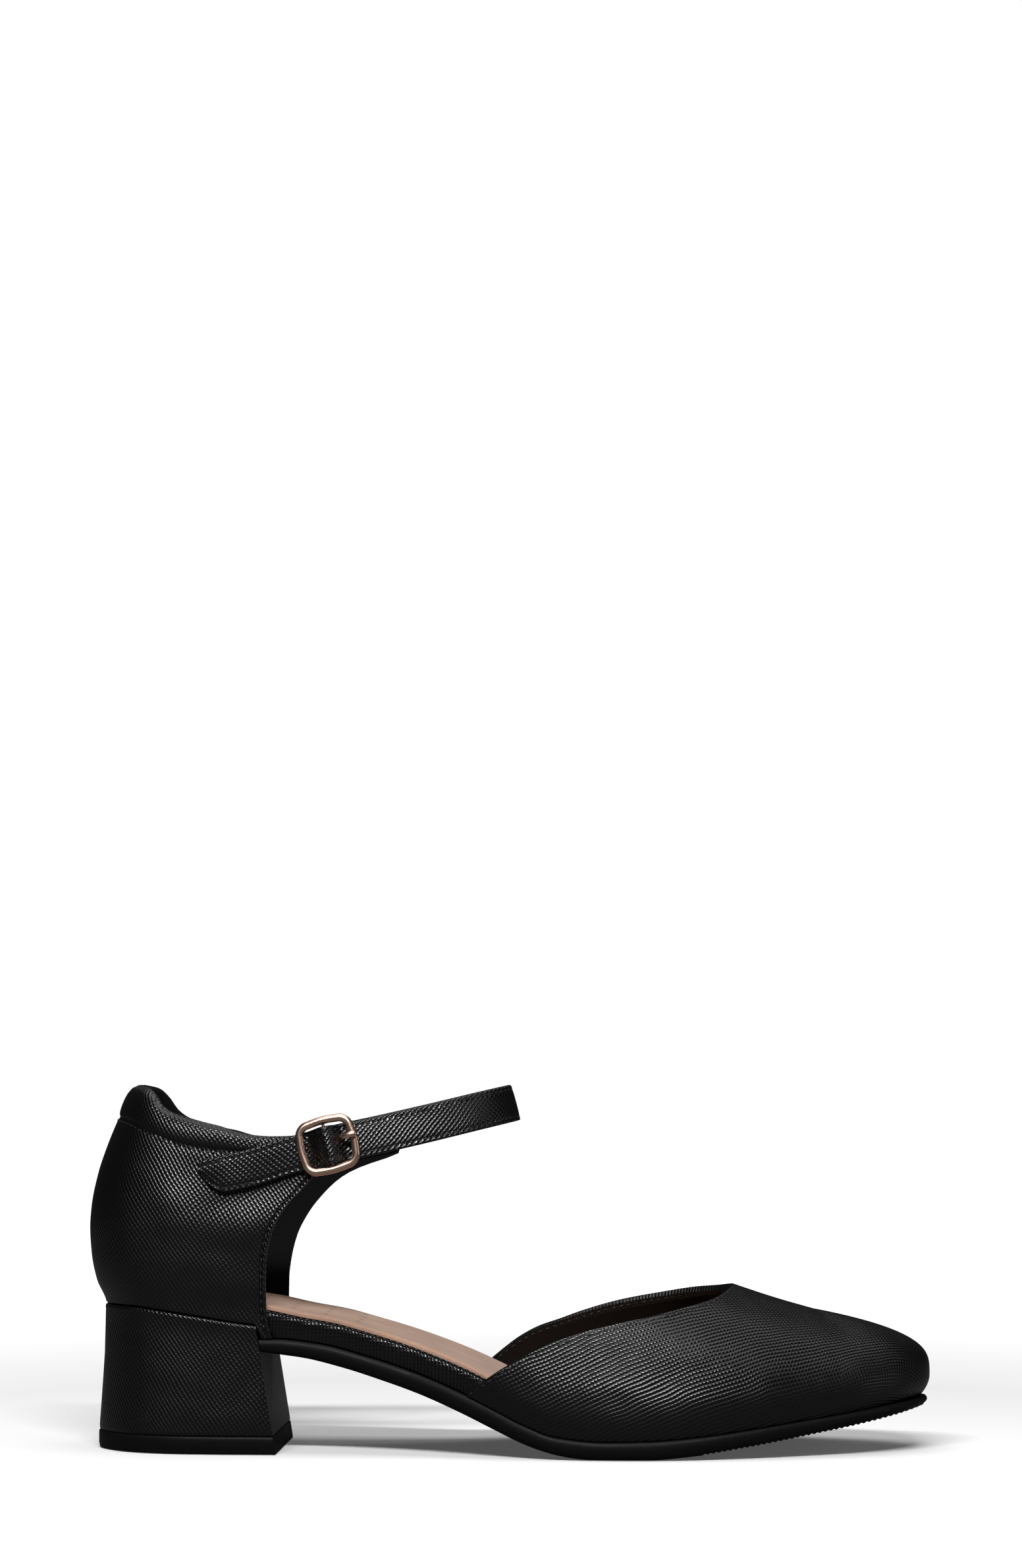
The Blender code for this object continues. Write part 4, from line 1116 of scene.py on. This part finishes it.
def strap_stations():
    """Each station of the strap: its x, y, edges, outward normal, lift and walk."""
    line = strap_path()
    way = np.array(buckle_axes()[3])
    walked = 0.0
    stations = []
    for k, (x, y) in enumerate(line):
        before = np.array(line[max(k - 1, 0)])
        after = np.array(line[min(k + 1, len(line) - 1)])
        ahead = (after - before) / np.linalg.norm(after - before)
        normal = np.array([ahead[1], -ahead[0], 0.0])
        if k:
            walked += float(np.linalg.norm(np.array((x, y)) - line[k - 1]))
        lift = way * (buckle_hump(x) if y < 0 else 0.0)
        stations.append((x, y, *strap_width(x, y), normal, lift, walked))
    return stations


def buckle_axes():
    """Centre, direction along the strap, direction up across it, and outward normal."""
    along = Vector((math.cos(STRAP_RAKE), 0.0, math.sin(STRAP_RAKE)))
    up = Vector((-math.sin(STRAP_RAKE), STRAP_LEAN, math.cos(STRAP_RAKE))).normalized()
    out = along.cross(up).normalized()
    centre = Vector((BUCKLE_X, beside_quarter(-1, BUCKLE_X, BUCKLE_Z, 0.0), BUCKLE_Z))
    return centre, along, up, out


def at_buckle(p, v, n):
    """Point p along the strap, v up across it and n out of the quarter's face."""
    centre, along, up, out = buckle_axes()
    return centre + along * p + up * v + out * n


def tube(name, path, up, wide, deep, look, closed=False, sides=20):
    """Oval tube along a path, wide across and deep along the direction up. An open tube has
    flat ends."""
    points = []
    count = len(path)
    for k, p in enumerate(path):
        before = path[k - 1] if k or closed else path[k]
        after = path[(k + 1) % count] if k < count - 1 or closed else path[k]
        ahead = (after - before).normalized()
        across = ahead.cross(up).normalized()
        rise = across.cross(ahead).normalized()
        for s in range(sides):
            turn = 2 * math.pi * (s + 0.5) / sides
            points.append(p + across * 0.5 * wide * math.cos(turn)
                          + rise * 0.5 * deep * math.sin(turn))
    return make_piece(name, points, ring_faces(count, sides, closed), [look])


def stitch_shape(settings):
    """Corners and faces of one stitch along X, sunk a little into the leather at its ends."""
    bpy.ops.object.select_all(action="DESELECT")
    bpy.ops.mesh.primitive_uv_sphere_add(segments=8, ring_count=6, radius=settings.radius,
                                         rotation=(0.0, math.pi / 2, 0.0))
    made = bpy.context.object
    bpy.ops.object.transform_apply(location=False, rotation=True, scale=False)
    half = 0.5 * settings.length - settings.radius
    for corner in made.data.vertices:
        corner.co.x += math.copysign(half, corner.co.x) if abs(corner.co.x) > 1e-7 else 0.0
        reach = min(abs(corner.co.x) / (0.5 * settings.length), 1.0)
        corner.co.z -= 0.6 * settings.radius * reach ** 2
    corners = np.array([corner.co[:] for corner in made.data.vertices])
    # Sorted by place, so that a stitch has the same order of corners and faces every time
    order = sorted(range(len(corners)), key=lambda i: place_key(corners[i] / MM))
    rank = {corner: place for place, corner in enumerate(order)}
    faces = []
    for polygon in made.data.polygons:
        face = [rank[v] for v in polygon.vertices]
        first = face.index(min(face))
        faces.append(tuple(face[first:] + face[:first]))
    bpy.data.objects.remove(made, do_unlink=True)
    return corners[order], sorted(faces)


def stitch_rows(name, rows, look, settings, pitch=None):
    """One object of stitches along the rows. A row is a list of points and outward normals."""
    corners, faces = stitch_shape(settings)
    pitch = (pitch or settings.pitch) / MM
    points, all_faces = [], []
    for row in rows:
        places = np.array([p for p, _ in row])
        normals = np.array([n for _, n in row])
        walked = walk_along(places)
        count = max(int(walked[-1] / pitch), 1)
        for k in range(count):
            s = (k + 0.5) * walked[-1] / count
            here, before, after = (on_line(places, walked, s + d) for d in (0.0, -0.4, 0.4))
            out = on_line(normals, walked, s)
            ahead = (after - before) / np.linalg.norm(after - before)
            out = out - ahead * float(out @ ahead)
            out /= np.linalg.norm(out)
            turn = np.array([ahead, np.cross(out, ahead), out])
            first = len(points)
            points.extend((corners / MM) @ turn + here)
            all_faces += [tuple(v + first for v in face) for face in faces]
    return make_piece(name, points, all_faces, [look])


class PUMP_OT_outsole(bpy.types.Operator):
    """Rubber outsole with a thin lip and fine tread ribs at the toe"""
    bl_idname = "pump.outsole"
    bl_label = "Outsole"

    def execute(self, context):
        settings = context.scene.pump_rubber
        edge = ((0.4, 0.4, -0.9, 1.0), (-0.1, -0.1, -1.45, 0.96), (-0.4, -0.4, -1.8, 0.8),
                (-0.5, -0.5, -1.9, 0.62), (-0.42, -0.42, -1.8, 0.44), (-0.2, -0.2, -1.5, 0.25),
                (0.15, 0.15, -0.95, 0.1), (1.0, 1.0, 0.2, 0.0))
        ribs_from = 56.0
        pitch, depth = settings.rib_pitch / MM, settings.rib_depth / MM
        stations = [HEEL_FRONT_X] + list(np.arange(-66.0, ribs_from, 1.6))
        count = int((112.0 - ribs_from) / (0.25 * pitch))
        stations += [ribs_from + k * 0.25 * pitch for k in range(count)]
        stations += [x for x in spread(stations[-1], TOE_X, 60, "last")[1:]
                     if x > stations[-1] + 0.1]

        def low(x):
            if x < ribs_from:
                return tread(x)
            return tread(x) + depth * (0.5 - 0.5 * math.cos(2 * math.pi * (x - ribs_from) / pitch))

        made = slab("outsole_rubber", stations[::-1], low, feather, edge, 6,
                    [rubber("sole_rubber", settings)], breast=GAP)
        dress(made, "sole_rubber", "outsole")
        return {"FINISHED"}


class PUMP_OT_heel(bpy.types.Operator):
    """Leather-covered block heel and its rubber top piece"""
    bl_idname = "pump.heel"
    bl_label = "Heel"

    def execute(self, context):
        stations = spread(HEEL_BACK_X, HEEL_FRONT_X, 52, "first")
        edge = ((1.3, 0.9, 1.3, 1.0), (0.75, 0.3, 0.75, 0.996), (0.35, -0.15, 0.35, 0.985),
                (0.22, -0.3, 0.22, 0.968), (0.30, -0.2, 0.30, 0.955), (0.1, -0.3, 0.1, 0.8),
                (-0.1, -0.45, -0.1, 0.6), (-0.3, -0.9, -0.3, 0.4), (-0.5, -1.38, -0.5, 0.2),
                (-0.66, -1.82, -0.66, 0.03), (-0.5, -1.7, -0.5, 0.0))
        cover = slab("heel_cover", stations, lambda x: HEEL_LIFT + GAP, seat, edge, 8,
                     [leather("heel_leather", 35.0, context.scene.pump_leather)], breast=0.0)
        round_edges(cover, 0.7)
        dress(cover, "heel_cover", "heel_block")
        edge = ((-0.5, -1.7, -0.5, 1.0), (-0.75, -1.95, -0.75, 0.94), (-0.8, -2.0, -0.8, 0.8),
                (-0.8, -2.0, -0.8, 0.24), (-0.62, -1.82, -0.62, 0.16), (-0.66, -1.86, -0.66, 0.1),
                (-0.4, -1.6, -0.4, 0.0))
        lift = slab("heel_lift", stations, lambda x: 0.0, lambda x: HEEL_LIFT, edge, 6,
                    [rubber("heel_rubber", context.scene.pump_rubber)], breast=0.0)
        round_edges(lift, 0.3)
        dress(lift, "heel_rubber", "heel_top_piece")
        return {"FINISHED"}


class PUMP_OT_footbed(bpy.types.Operator):
    """Leather-wrapped insole board with its beaded top edge, and the suede sock on it"""
    bl_idname = "pump.footbed"
    bl_label = "Footbed"

    def execute(self, context):
        edge = even_edge((3.3, 1.0), (2.6, 0.97), (2.25, 0.9), (2.2, 0.6), (2.2, 0.3),
                         (2.3, 0.03), (2.6, 0.0))
        stations = spread(HEEL_BACK_X, -73.0, 40, "first") + [SEAT_END_X, SEAT_END_X + SEAT_STEP]
        stations += list(np.arange(-70.0, 60.0, 1.5)) + spread(60.0, TOE_X, 60, "last")
        board = slab("insole_edge", stations, board_low, board_top, edge, 6,
                     [leather("board_leather", 0.0, context.scene.pump_leather, 0.25)])
        dress(board, "board_cover", "insole_board")
        edge = even_edge((4.1, 1.0), (3.5, 0.9), (3.15, 0.6), (3.1, 0.3), (3.1, 0.0))
        stations = spread(HEEL_BACK_X, -73.0, 44, "first")
        stations += list(np.arange(-71.5, 60.0, 1.5)) + spread(60.0, TOE_X, 60, "last")
        sock = slab("suede_sock", stations, lambda x: board_top(x) + GAP,
                    lambda x: board_top(x) + GAP + SOCK_THICK, edge, 14,
                    [suede("tan_suede", context.scene.pump_sock)])
        dress(sock, "sock_suede", "sock")
        return {"FINISHED"}


class PUMP_OT_vamp(bpy.types.Operator):
    """Closed toe of the upper, lined, with a faced and folded throat edge"""
    bl_idname = "pump.vamp"
    bl_label = "Vamp"

    def execute(self, context):
        outer, flat = vamp_grid()
        inner = inward_grid(outer, UPPER_WALL)
        fabric = context.scene.pump_lining
        looks = [leather("vamp_leather", 52.0, context.scene.pump_leather),
                 lining("vamp_lining", fabric.vamp_colour, fabric)]
        made = wall("vamp_upper", outer, inner, flat, looks, facing=3)
        round_edges(made, 0.55)
        dress(made, "vamp_leather", "vamp")
        return {"FINISHED"}


class PUMP_OT_quarter(bpy.types.Operator):
    """Closed back of the upper with its padded collar band and lining"""
    bl_idname = "pump.quarter"
    bl_label = "Quarter"

    def execute(self, context):
        outer, inner, flat = quarter_grids()
        fabric = context.scene.pump_lining
        looks = [leather("quarter_leather", 35.0, context.scene.pump_leather),
                 lining("quarter_lining", fabric.quarter_colour, fabric)]
        made = wall("quarter_upper", outer, inner, flat, looks, facing=0)
        round_edges(made, 0.5)
        dress(made, "quarter_leather", "quarter")
        return {"FINISHED"}


class PUMP_OT_strap(bpy.types.Operator):
    """Ankle strap with folded edges, a shaped tail and the hole for the prong"""
    bl_idname = "pump.strap"
    bl_label = "Strap"

    def execute(self, context):
        points, flat = [], []
        stations = strap_stations()
        for x, y, low, high, normal, lift, walked in stations:
            half = 0.5 * (high - low)
            squeeze = min(1.0, half / (STRAP_SECTION[-1][0] + 0.2))
            section = [(low + d * squeeze, n) for d, n in STRAP_SECTION]
            section += [(0.5 * (low + high), STRAP_SECTION[-1][1] + 0.04)]
            section += [(high - d * squeeze, n) for d, n in STRAP_SECTION[::-1]]
            section += [(high - 0.15 * squeeze, -0.4), (high - 0.5 * squeeze, -0.6),
                        (0.5 * (low + high), -0.6), (low + 0.5 * squeeze, -0.6),
                        (low + 0.15 * squeeze, -0.4)]
            for v, n in section:
                points.append(strap_point(x, y, v) + normal * n + lift)
                flat.append((walked, v))
        size = len(section)
        faces = ring_faces(len(stations), size)
        one_ring = [1 if size - 5 <= j < size - 2 else 0 for j in range(size)]
        marks = one_ring * (len(stations) - 1) + [0, 0]
        fabric = context.scene.pump_lining
        looks = [leather("strap_leather", 52.0, context.scene.pump_leather),
                 lining("strap_lining", fabric.quarter_colour, fabric)]
        made = make_piece("strap_ribbon", points, faces, looks, marks, [flat])
        self.punch(made)
        dress(made, "strap_leather", "ankle_strap")
        return {"FINISHED"}

    def punch(self, made):
        """Cuts the prong's hole through the strap."""
        _, along, up, out = buckle_axes()
        turn = Matrix((along, up, out)).transposed().to_euler()
        bpy.ops.object.select_all(action="DESELECT")
        bpy.ops.mesh.primitive_cylinder_add(
            vertices=32, radius=HOLE_RADIUS * MM, depth=9.0 * MM,
            location=settled(at_buckle(HOLE_P, PRONG_V, 2.5)), rotation=turn)
        cutter = bpy.context.object
        only(made)
        step = made.modifiers.new("hole", "BOOLEAN")
        step.operation = "DIFFERENCE"
        step.solver = "EXACT"
        step.object = cutter
        bpy.ops.object.modifier_apply(modifier=step.name)
        bpy.data.objects.remove(cutter, do_unlink=True)


class PUMP_OT_buckle(bpy.types.Operator):
    """Rose gold frame, bar and prong, and the leather loop that holds them"""
    bl_idname = "pump.buckle"
    bl_label = "Buckle"

    def execute(self, context):
        look = metal("buckle_plate", context.scene.pump_metal)
        out = buckle_axes()[3]
        half_p = 0.5 * (BUCKLE_LONG - WIRE_WIDE)
        half_v = 0.5 * (BUCKLE_HIGH - WIRE_WIDE)
        corner = BUCKLE_CORNER - 0.5 * WIRE_WIDE
        path = []
        for p_sign, v_sign, start in ((1, 1, 0.0), (-1, 1, 0.5), (-1, -1, 1.0), (1, -1, 1.5)):
            for k in range(12):
                turn = math.pi * (start + k / 22)
                path.append((p_sign * (half_p - corner) + corner * math.cos(turn),
                             v_sign * (half_v - corner) + corner * math.sin(turn)))
            # The side after this corner bows out a little
            for k in range(1, 8):
                share = k / 8
                bow = BUCKLE_BULGE * math.sin(math.pi * share)
                reach = 1 - 2 * share
                if start in (0.0, 1.0):
                    path.append((p_sign * (half_p - corner) * reach, v_sign * (half_v + bow)))
                else:
                    path.append((p_sign * (half_p + bow), v_sign * (half_v - corner) * reach))
        ring = [at_buckle(p, v, FRAME_OUT) for p, v in path]
        made = tube("buckle_ring", ring, out, WIRE_WIDE, WIRE_DEEP, look, closed=True)
        middle = [at_buckle(0.0, v, BAR_OUT) for v in np.linspace(-half_v, half_v, 9)]
        bar = tube("buckle_bar", middle, out, 2 * BAR_RADIUS, 2 * BAR_RADIUS, look)
        join(made, bar)
        dress(made, "buckle_metal", "buckle_frame")
        dress(self.prong(look), "prong_metal", "buckle_prong")
        # The loop's own mesh has no flat hide, so it takes a smooth black finish
        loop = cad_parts["buckle_loop"]
        loop.data.materials.clear()
        loop.data.materials.append(rubber("loop_leather", context.scene.pump_rubber))
        return {"FINISHED"}

    def prong(self, look):
        """Tapered prong with an eye round the bar."""
        # Stem: distance along the strap, distance out, size
        stem = ((0.75, 1.5, 1.0), (2.2, 1.3, 1.0), (3.1, 1.75, 1.0), (3.8, 2.7, 1.0),
                (4.5, 3.7, 1.0), (5.5, 4.45, 1.0), (6.6, 4.72, 1.0), (7.6, 4.72, 1.06),
                (8.3, 4.62, 1.0), (8.75, 4.52, 0.72), (8.95, 4.48, 0.25))
        path = [at_buckle(p, PRONG_V, n) for p, n, _ in stem]
        up = buckle_axes()[2]
        points, sides = [], 16
        for k, p in enumerate(path):
            size = stem[k][2]
            ahead = (path[min(k + 1, len(path) - 1)] - path[max(k - 1, 0)]).normalized()
            rise = ahead.cross(up).normalized()
            for s in range(sides):
                turn = 2 * math.pi * s / sides
                points.append(p + up * PRONG_HALF_WIDE * size * math.cos(turn)
                              + rise * PRONG_HALF_DEEP * size * math.sin(turn))
        made = make_piece("prong_stem", points, ring_faces(len(path), sides), [look])
        radius = BAR_RADIUS + 0.35
        eye = [at_buckle(radius * math.cos(t), PRONG_V, BAR_OUT + radius * math.sin(t))
               for t in np.linspace(0, 2 * math.pi, 24, endpoint=False)]
        ring = tube("prong_eye", eye, up, 0.5, 1.8, look, closed=True, sides=12)
        join(made, ring)
        return made


class PUMP_OT_stitching(bpy.types.Operator):
    """Rows of stitches on the quarter, strap, throat and insole edge"""
    bl_idname = "pump.stitching"
    bl_label = "Stitching"

    def execute(self, context):
        settings = context.scene.pump_thread
        look = thread("black_thread", settings)
        rows = [self.front_row(side) for side in (-1, 1)] + [self.collar_row()]
        dress(stitch_rows("quarter_stitches", rows, look, settings), "quarter_leather")
        rows = [self.strap_row(0), self.strap_row(1), self.tail_row()]
        dress(stitch_rows("strap_stitches", rows, look, settings), "strap_leather")
        rows = [self.throat_row(side, inside) for side in (-1, 1) for inside in (False, True)]
        dress(stitch_rows("throat_stitches", rows, look, settings), "vamp_leather")
        rows = [self.board_row(side) for side in (-1, 1)]
        dress(stitch_rows("insole_beading", rows, look, settings, 0.0019), "board_cover")
        return {"FINISHED"}

    def on_quarter(self, side, walked, z, out=0.0):
        """Point out from the quarter's outer face, and its outward normal."""
        out += swell(QUARTER_FORM, side, quarter_point(side, walked, z)[0], z)
        here = quarter_point(side, walked, z, out)
        return here, quarter_point(side, walked, z, out + 1.0) - here

    def front_row(self, side):
        """Along the front edge of the quarter, in the groove beside it."""
        row = []
        for z in np.arange(35.0, 84.0 if side < 0 else 82.0, 1.0):
            row.append(self.on_quarter(side, front_walk(side, z) - FRONT_STITCH_IN, z, 0.05))
        return row

    def collar_row(self):
        """Round the collar just below its seam."""
        row = []
        for side in (-1, 1):
            part = []
            for share in np.linspace(0.0, 0.93, 60):
                z = level(side, share, collar_seam[side], 50.0) - 1.0
                part.append(self.on_quarter(side, share * front_walk(side, z), z))
            row += part[::-1] if side < 0 else part[1:]
        return row

    def strap_row(self, edge):
        """Along one edge of the strap."""
        row = []
        for x, y, low, high, normal, lift, _ in strap_stations():
            if high - low < 9.0:
                continue
            v = high - STRAP_STITCH_IN if edge else low + STRAP_STITCH_IN
            row.append((strap_point(x, y, v) + normal * 0.5 + lift, normal))
        return row

    def tail_row(self):
        """Down the end of the tail."""
        row = []
        for v in np.linspace(4.0, -3.6, 12):
            x = TAIL_X + 1.5
            while tail_low(x - TAIL_X - 1.2) > v:
                x += 0.1
            here = strap_point(x, STRAP_LOOP[0][1], v)
            row.append((here + (0.0, -0.5, 0.0), np.array([0.0, -1.0, 0.0])))
        return row

    def throat_row(self, side, inside):
        """Round the throat, 1.2 mm below its folded edge, on the face or on the facing."""
        row = []
        for foot, anchor_x in vamp_ribs(side):
            if anchor_x >= APEX_X:
                break
            at, _, _ = rib(side, foot, anchor_x)
            top = throat_share(side, at, anchor_x)
            low, high = at(max(top - 0.02, 0.0)), at(top)
            ahead = (high - low) / max(np.linalg.norm(high - low), 1e-6)
            near, _, _ = rib(side, foot + 0.5, anchor_x + 0.5)
            along = near(top) - high
            out = np.cross(ahead, along) * side
            out /= np.linalg.norm(out)
            if out[1] * side < 0:
                out = -out
            here = high - ahead * 1.25 + out * 0.02
            if inside:
                here = here - out * (UPPER_WALL + 0.04)
                out = -out
            row.append((here, out))
        return row

    def board_row(self, side):
        """Beaded top edge of the insole board where it shows."""
        row = []
        for x in np.arange(-70.0, -6.0, 1.2):
            here, normal = outline.point(side, outline.at_x(side, x))
            spot = here - normal * 2.55
            out = np.array([normal[0] * 0.6, normal[1] * 0.6, 0.8])
            row.append((np.array([spot[0], spot[1], board_top(x) - 0.12]), out))
        return row


class PUMP_OT_stage(bpy.types.Operator):
    """Pale floor, soft studio lights and the camera"""
    bl_idname = "pump.stage"
    bl_label = "Stage"

    def execute(self, context):
        settings = context.scene.pump_stage
        self.floor(settings)
        self.room(context.scene, settings)
        # Softboxes: name, place, aim, width, depth, power
        boxes = (
            ("top", (0.0, 0.0, 1.25), (0.0, 0.0, 0.0), 1.0, 0.8, settings.top_power),
            ("front", (-0.06, -0.88, 0.83), (0.0, 0.0, 0.05), 0.7, 0.07, settings.front_power),
            ("side", (1.10, -0.30, 0.40), (0.0, 0.0, 0.03), 0.4, 0.5, settings.side_power),
            ("back", (0.0, 0.80, 1.10), (0.0, 0.0, 0.08), 1.2, 0.3, settings.back_power),
        )
        for name, place, aim, wide, deep, power in boxes:
            self.softbox(name, place, aim, wide, deep, power)
        self.camera(context.scene)
        context.scene.view_settings.view_transform = "Standard"
        return {"FINISHED"}

    def floor(self, settings):
        """Round floor that brightens into the white backdrop far from the shoe, by a glow that the
        camera sees; near the shoe the glow is painted light that lifts its cast shadow.
        """
        bpy.ops.object.select_all(action="DESELECT")
        bpy.ops.mesh.primitive_circle_add(vertices=128, radius=4.0, fill_type="NGON",
                                          location=(0.0, 0.0, -0.0002))
        made = bpy.context.object
        made.name = "floor"
        look = Look("pale_floor", settings.floor_colour, 0.9, specular=0.1)
        spot = look.spot()
        away = look.node("ShaderNodeVectorMath", {0: spot}, operation="LENGTH").outputs["Value"]
        # Painted light: for the camera the floor glows, enough near the shoe to lift its cast
        # shadow, and up to nearly white far from it
        painted_floor_glow = look.stretch(away, 0.08, 1.0, 0.25, 0.9)
        seen = look.node("ShaderNodeLightPath").outputs["Is Camera Ray"]
        look.feed("Base Color", look.mix(seen, [settings.bounce] * 3, settings.floor_colour))
        look.shader.inputs["Emission Color"].default_value = (1.0, 1.0, 1.0, 1.0)
        look.feed("Emission Strength", look.maths("MULTIPLY", painted_floor_glow, seen))
        made.data.materials.append(look.material)

    def room(self, scene, settings):
        """White behind the shoe for the camera, and a dim room for the leather to reflect."""
        world = bpy.data.worlds.new("studio")
        world.use_nodes = True
        scene.world = world
        nodes, links = world.node_tree.nodes, world.node_tree.links
        dim = nodes["Background"]
        dim.inputs["Strength"].default_value = settings.room
        dim.inputs["Color"].default_value = (1.0, 1.0, 1.0, 1.0)
        white = nodes.new("ShaderNodeBackground")
        white.inputs["Color"].default_value = (1.0, 1.0, 1.0, 1.0)
        path = nodes.new("ShaderNodeLightPath")
        mix = nodes.new("ShaderNodeMixShader")
        links.new(path.outputs["Is Camera Ray"], mix.inputs[0])
        links.new(dim.outputs[0], mix.inputs[1])
        links.new(white.outputs[0], mix.inputs[2])
        links.new(mix.outputs[0], nodes["World Output"].inputs["Surface"])

    def softbox(self, name, place, aim, wide, deep, power):
        """Area light at its place, turned to its aim, that the camera doesn't see."""
        bpy.ops.object.select_all(action="DESELECT")
        way = Vector(aim) - Vector(place)
        bpy.ops.object.light_add(type="AREA", location=place,
                                 rotation=way.to_track_quat("-Z", "Y").to_euler())
        made = bpy.context.object
        made.name = name + "_softbox"
        made.data.shape = "RECTANGLE"
        made.data.size = wide
        made.data.size_y = deep
        made.data.energy = power
        made.visible_camera = False

    def camera(self, scene):
        """Camera low beside the shoe, as in the photograph."""
        way = Vector(AIM) - Vector(EYE)
        bpy.ops.object.camera_add(location=EYE, rotation=way.to_track_quat("-Z", "Y").to_euler())
        made = bpy.context.object
        made.data.sensor_width = SENSOR
        made.data.lens = SENSOR * PIXELS_PER_MM * way.length / MM / PICTURE_HEIGHT
        made.data.clip_start, made.data.clip_end = 0.01, 50.0
        scene.camera = made


class PUMP_PT_panel(bpy.types.Panel):
    """Makes the shoe piece by piece."""
    bl_idname = "PUMP_PT_panel"
    bl_label = "Ankle Strap Pump"
    bl_space_type = "VIEW_3D"
    bl_region_type = "UI"
    bl_category = "Pump"

    def draw(self, context):
        for step in STEPS:
            self.layout.operator(step.bl_idname)
        for name in SETTINGS:
            box = self.layout.box()
            group = getattr(context.scene, name)
            for field in group.__annotations__:
                box.prop(group, field)


SETTINGS = {
    "pump_leather": PumpLeather, "pump_lining": PumpLining, "pump_sock": PumpSock,
    "pump_rubber": PumpRubber, "pump_thread": PumpThread, "pump_metal": PumpMetal,
    "pump_stage": PumpStage,
}
STEPS = (PUMP_OT_outsole, PUMP_OT_heel, PUMP_OT_footbed, PUMP_OT_vamp, PUMP_OT_quarter,
         PUMP_OT_strap, PUMP_OT_buckle, PUMP_OT_stitching, PUMP_OT_stage)


def register():
    """Registers the settings, steps and panel."""
    for group in SETTINGS.values():
        bpy.utils.register_class(group)
    for name, group in SETTINGS.items():
        setattr(bpy.types.Scene, name, bpy.props.PointerProperty(type=group))
    for step in STEPS + (PUMP_PT_panel,):
        bpy.utils.register_class(step)


def unregister():
    """Takes back what register did."""
    for step in (STEPS + (PUMP_PT_panel,))[::-1]:
        bpy.utils.unregister_class(step)
    for name in SETTINGS:
        delattr(bpy.types.Scene, name)
    for group in reversed(SETTINGS.values()):
        bpy.utils.unregister_class(group)


def main():
    """Makes the shoe step by step."""
    register()
    bpy.ops.pump.outsole()
    bpy.ops.pump.heel()
    bpy.ops.pump.footbed()
    bpy.ops.pump.vamp()
    bpy.ops.pump.quarter()
    bpy.ops.pump.strap()
    bpy.ops.pump.buckle()
    bpy.ops.pump.stitching()
    bpy.ops.pump.stage()


if __name__ == "__main__":
    main()
